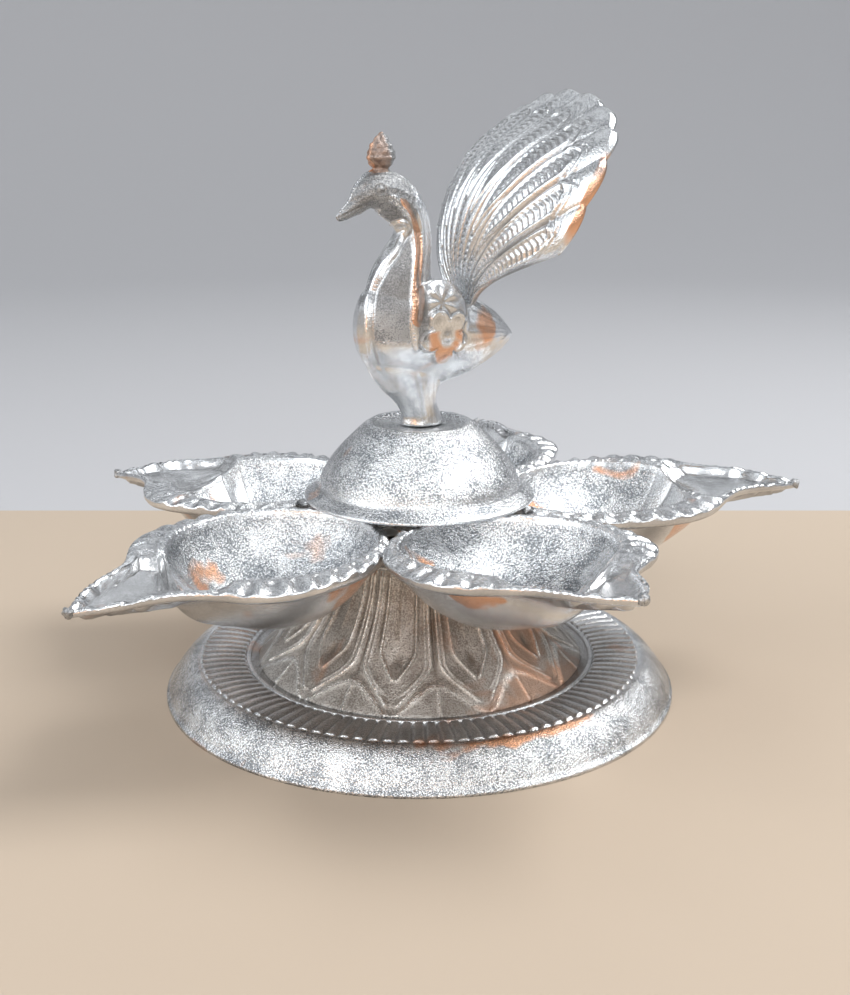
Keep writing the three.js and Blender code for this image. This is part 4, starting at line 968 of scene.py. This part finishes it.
def buildNut():
    low, high, corner = nodeSpan("stud_nut")
    flat = corner * cos(pi / 6)
    cut = 0.45
    profile = [(studHole, low + 0.25), (2.55, low), (flat * 0.96, low), (corner, low + cut), (corner, low + 1.2),
               (corner, high - 1.2), (corner, high - cut), (flat * 0.96, high), (2.55, high),
               (studHole, high - 0.25)]
    bm = spinProfile(profile, 72)
    tarnishAndShade = newMarks(bm)[0]
    for vert in bm.verts:
        reach, turn = polar(vert.co)
        vert[tarnishAndShade] = 0.4
        if reach > flat * 0.97:
            fromEdge = pi / 6 - abs((turn + pi / 6) % (pi / 3) - pi / 6)
            widen(vert, min(1.0, flat / cos(fromEdge) / reach))
    finishPiece("studNut", bm, steel, "nut", "stud_nut")

def buildWasher():
    low, high, radius = nodeSpan("stud_washer")
    profile = [(studHole, low + 0.1), (2.45, low), (radius - 0.25, low), (radius - 0.05, low + 0.12),
               (radius, low + 0.4), (radius - 0.05, high - 0.1), (radius - 0.2, high), (2.4, high),
               (studHole, high - 0.1)]
    bm = spinProfile(profile, 64)
    tint(bm, 0.35)
    finishPiece("springWasher", bm, steel, "stand", "stud_washer")

buildRivets()
buildStud()
buildNut()
buildWasher()
print("fasteners made")

# Studio
studio = {"floorColor": (0.56, 0.46, 0.36, 1), "wallColor": (0.54, 0.54, 0.555, 1), "floorReach": 0.155,
          "flat": 0.9, "sweepRadius": 1.1, "sweepTurn": 57, "lens": 48.84,
          "camera": (0.0014, -0.3267, 0.1418), "pitch": 15.85}

def makeBackdropPaint():  # a table's colour near the lamp and a wall's colour behind it
    s = studio
    material = bpy.data.materials.new("backdropPaint")
    material.use_nodes = True
    tree = material.node_tree
    shader = tree.nodes["Principled BSDF"]
    shader.inputs["Roughness"].default_value = 0.7
    shader.inputs["Specular IOR Level"].default_value = 0.25
    parts = addNode(tree, "SeparateXYZ")
    tree.links.new(addNode(tree, "TexCoord").outputs["Object"], parts.inputs["Vector"])
    mix = addNode(tree, "Mix", {"A": s["floorColor"], "B": s["wallColor"]}, data_type="RGBA")
    tree.links.new(mathNode(tree, "GREATER_THAN", parts.outputs["Y"], s["floorReach"]), mix.inputs["Factor"])
    tree.links.new(mix.outputs["Result"], shader.inputs["Base Color"])
    return material

def buildStage():  # one sheet, a floor that sweeps up all round
    s = studio
    steps = [radians(s["sweepTurn"] * k / 32) for k in range(33)]
    profile = [(0.0005, 0), (0.2, 0)]
    profile += [(s["flat"] + s["sweepRadius"] * sin(a), s["sweepRadius"] * (1 - cos(a))) for a in steps]
    bm = spinProfile(profile, 128, closed=False)
    for face in bm.faces:
        face.smooth = True
    sheet = addObject("backdrop", meshFrom("backdrop", bm))
    sheet.data.materials.append(makeBackdropPaint())

def addLamp(name, spot, aim, size, power, color=(1, 1, 1)):
    lamp = bpy.data.lights.new(name, "AREA")
    lamp.shape = "RECTANGLE"
    lamp.size, lamp.size_y = size
    lamp.energy = power
    lamp.color = color
    holder = addObject(name, lamp)
    holder.location = spot
    holder.rotation_euler = (Vector(aim) - Vector(spot)).to_track_quat("-Z", "Y").to_euler()

buildStage()
centre = (0, 0, 0.06)
addLamp("windowRight", (0.5, 0.1, 0.75), centre, (0.45, 0.45), 5.2)
addLamp("panelLeft", (-0.75, -0.35, 0.55), centre, (0.5, 0.7), 3.0, (0.94, 0.97, 1.0))
addLamp("frontPanel", (0.15, -1.05, 0.62), centre, (0.8, 0.34), 3.0)
addLamp("warmCard", (-0.35, -0.7, 0.16), centre, (0.3, 0.12), 0.35, (1.0, 0.55, 0.3))

def makeRoom():  # a dim room with soft pale patches, so that the metal has something to mirror
    world = bpy.data.worlds.new("paleRoom")
    world.use_nodes = True
    tree = world.node_tree
    way = addNode(tree, "TexCoord").outputs["Generated"]
    patches = addNode(tree, "TexNoise", {"Scale": 2.6, "Detail": 2.0, "Roughness": 0.6})
    tree.links.new(way, patches.inputs["Vector"])
    shade = addNode(tree, "MapRange", {"From Min": 0.40, "From Max": 0.58, "To Min": 0.03, "To Max": 1.15})
    shade.interpolation_type = "SMOOTHSTEP"
    tree.links.new(patches.outputs["Fac"], shade.inputs["Value"])
    tree.links.new(shade.outputs["Result"], tree.nodes["Background"].inputs["Strength"])
    tree.nodes["Background"].inputs["Color"].default_value = (0.93, 0.96, 1.0, 1)
    bpy.context.scene.world = world

makeRoom()

lens = bpy.data.cameras.new("photoView")
lens.lens = studio["lens"]
lens.sensor_width = 36
lens.clip_start = 0.01
view = addObject("photoView", lens)
view.location = studio["camera"]
view.rotation_euler = (radians(90 - studio["pitch"]), 0, 0)
bpy.context.scene.camera = view
bpy.context.scene.view_settings.view_transform = "Standard"

print("scene done")
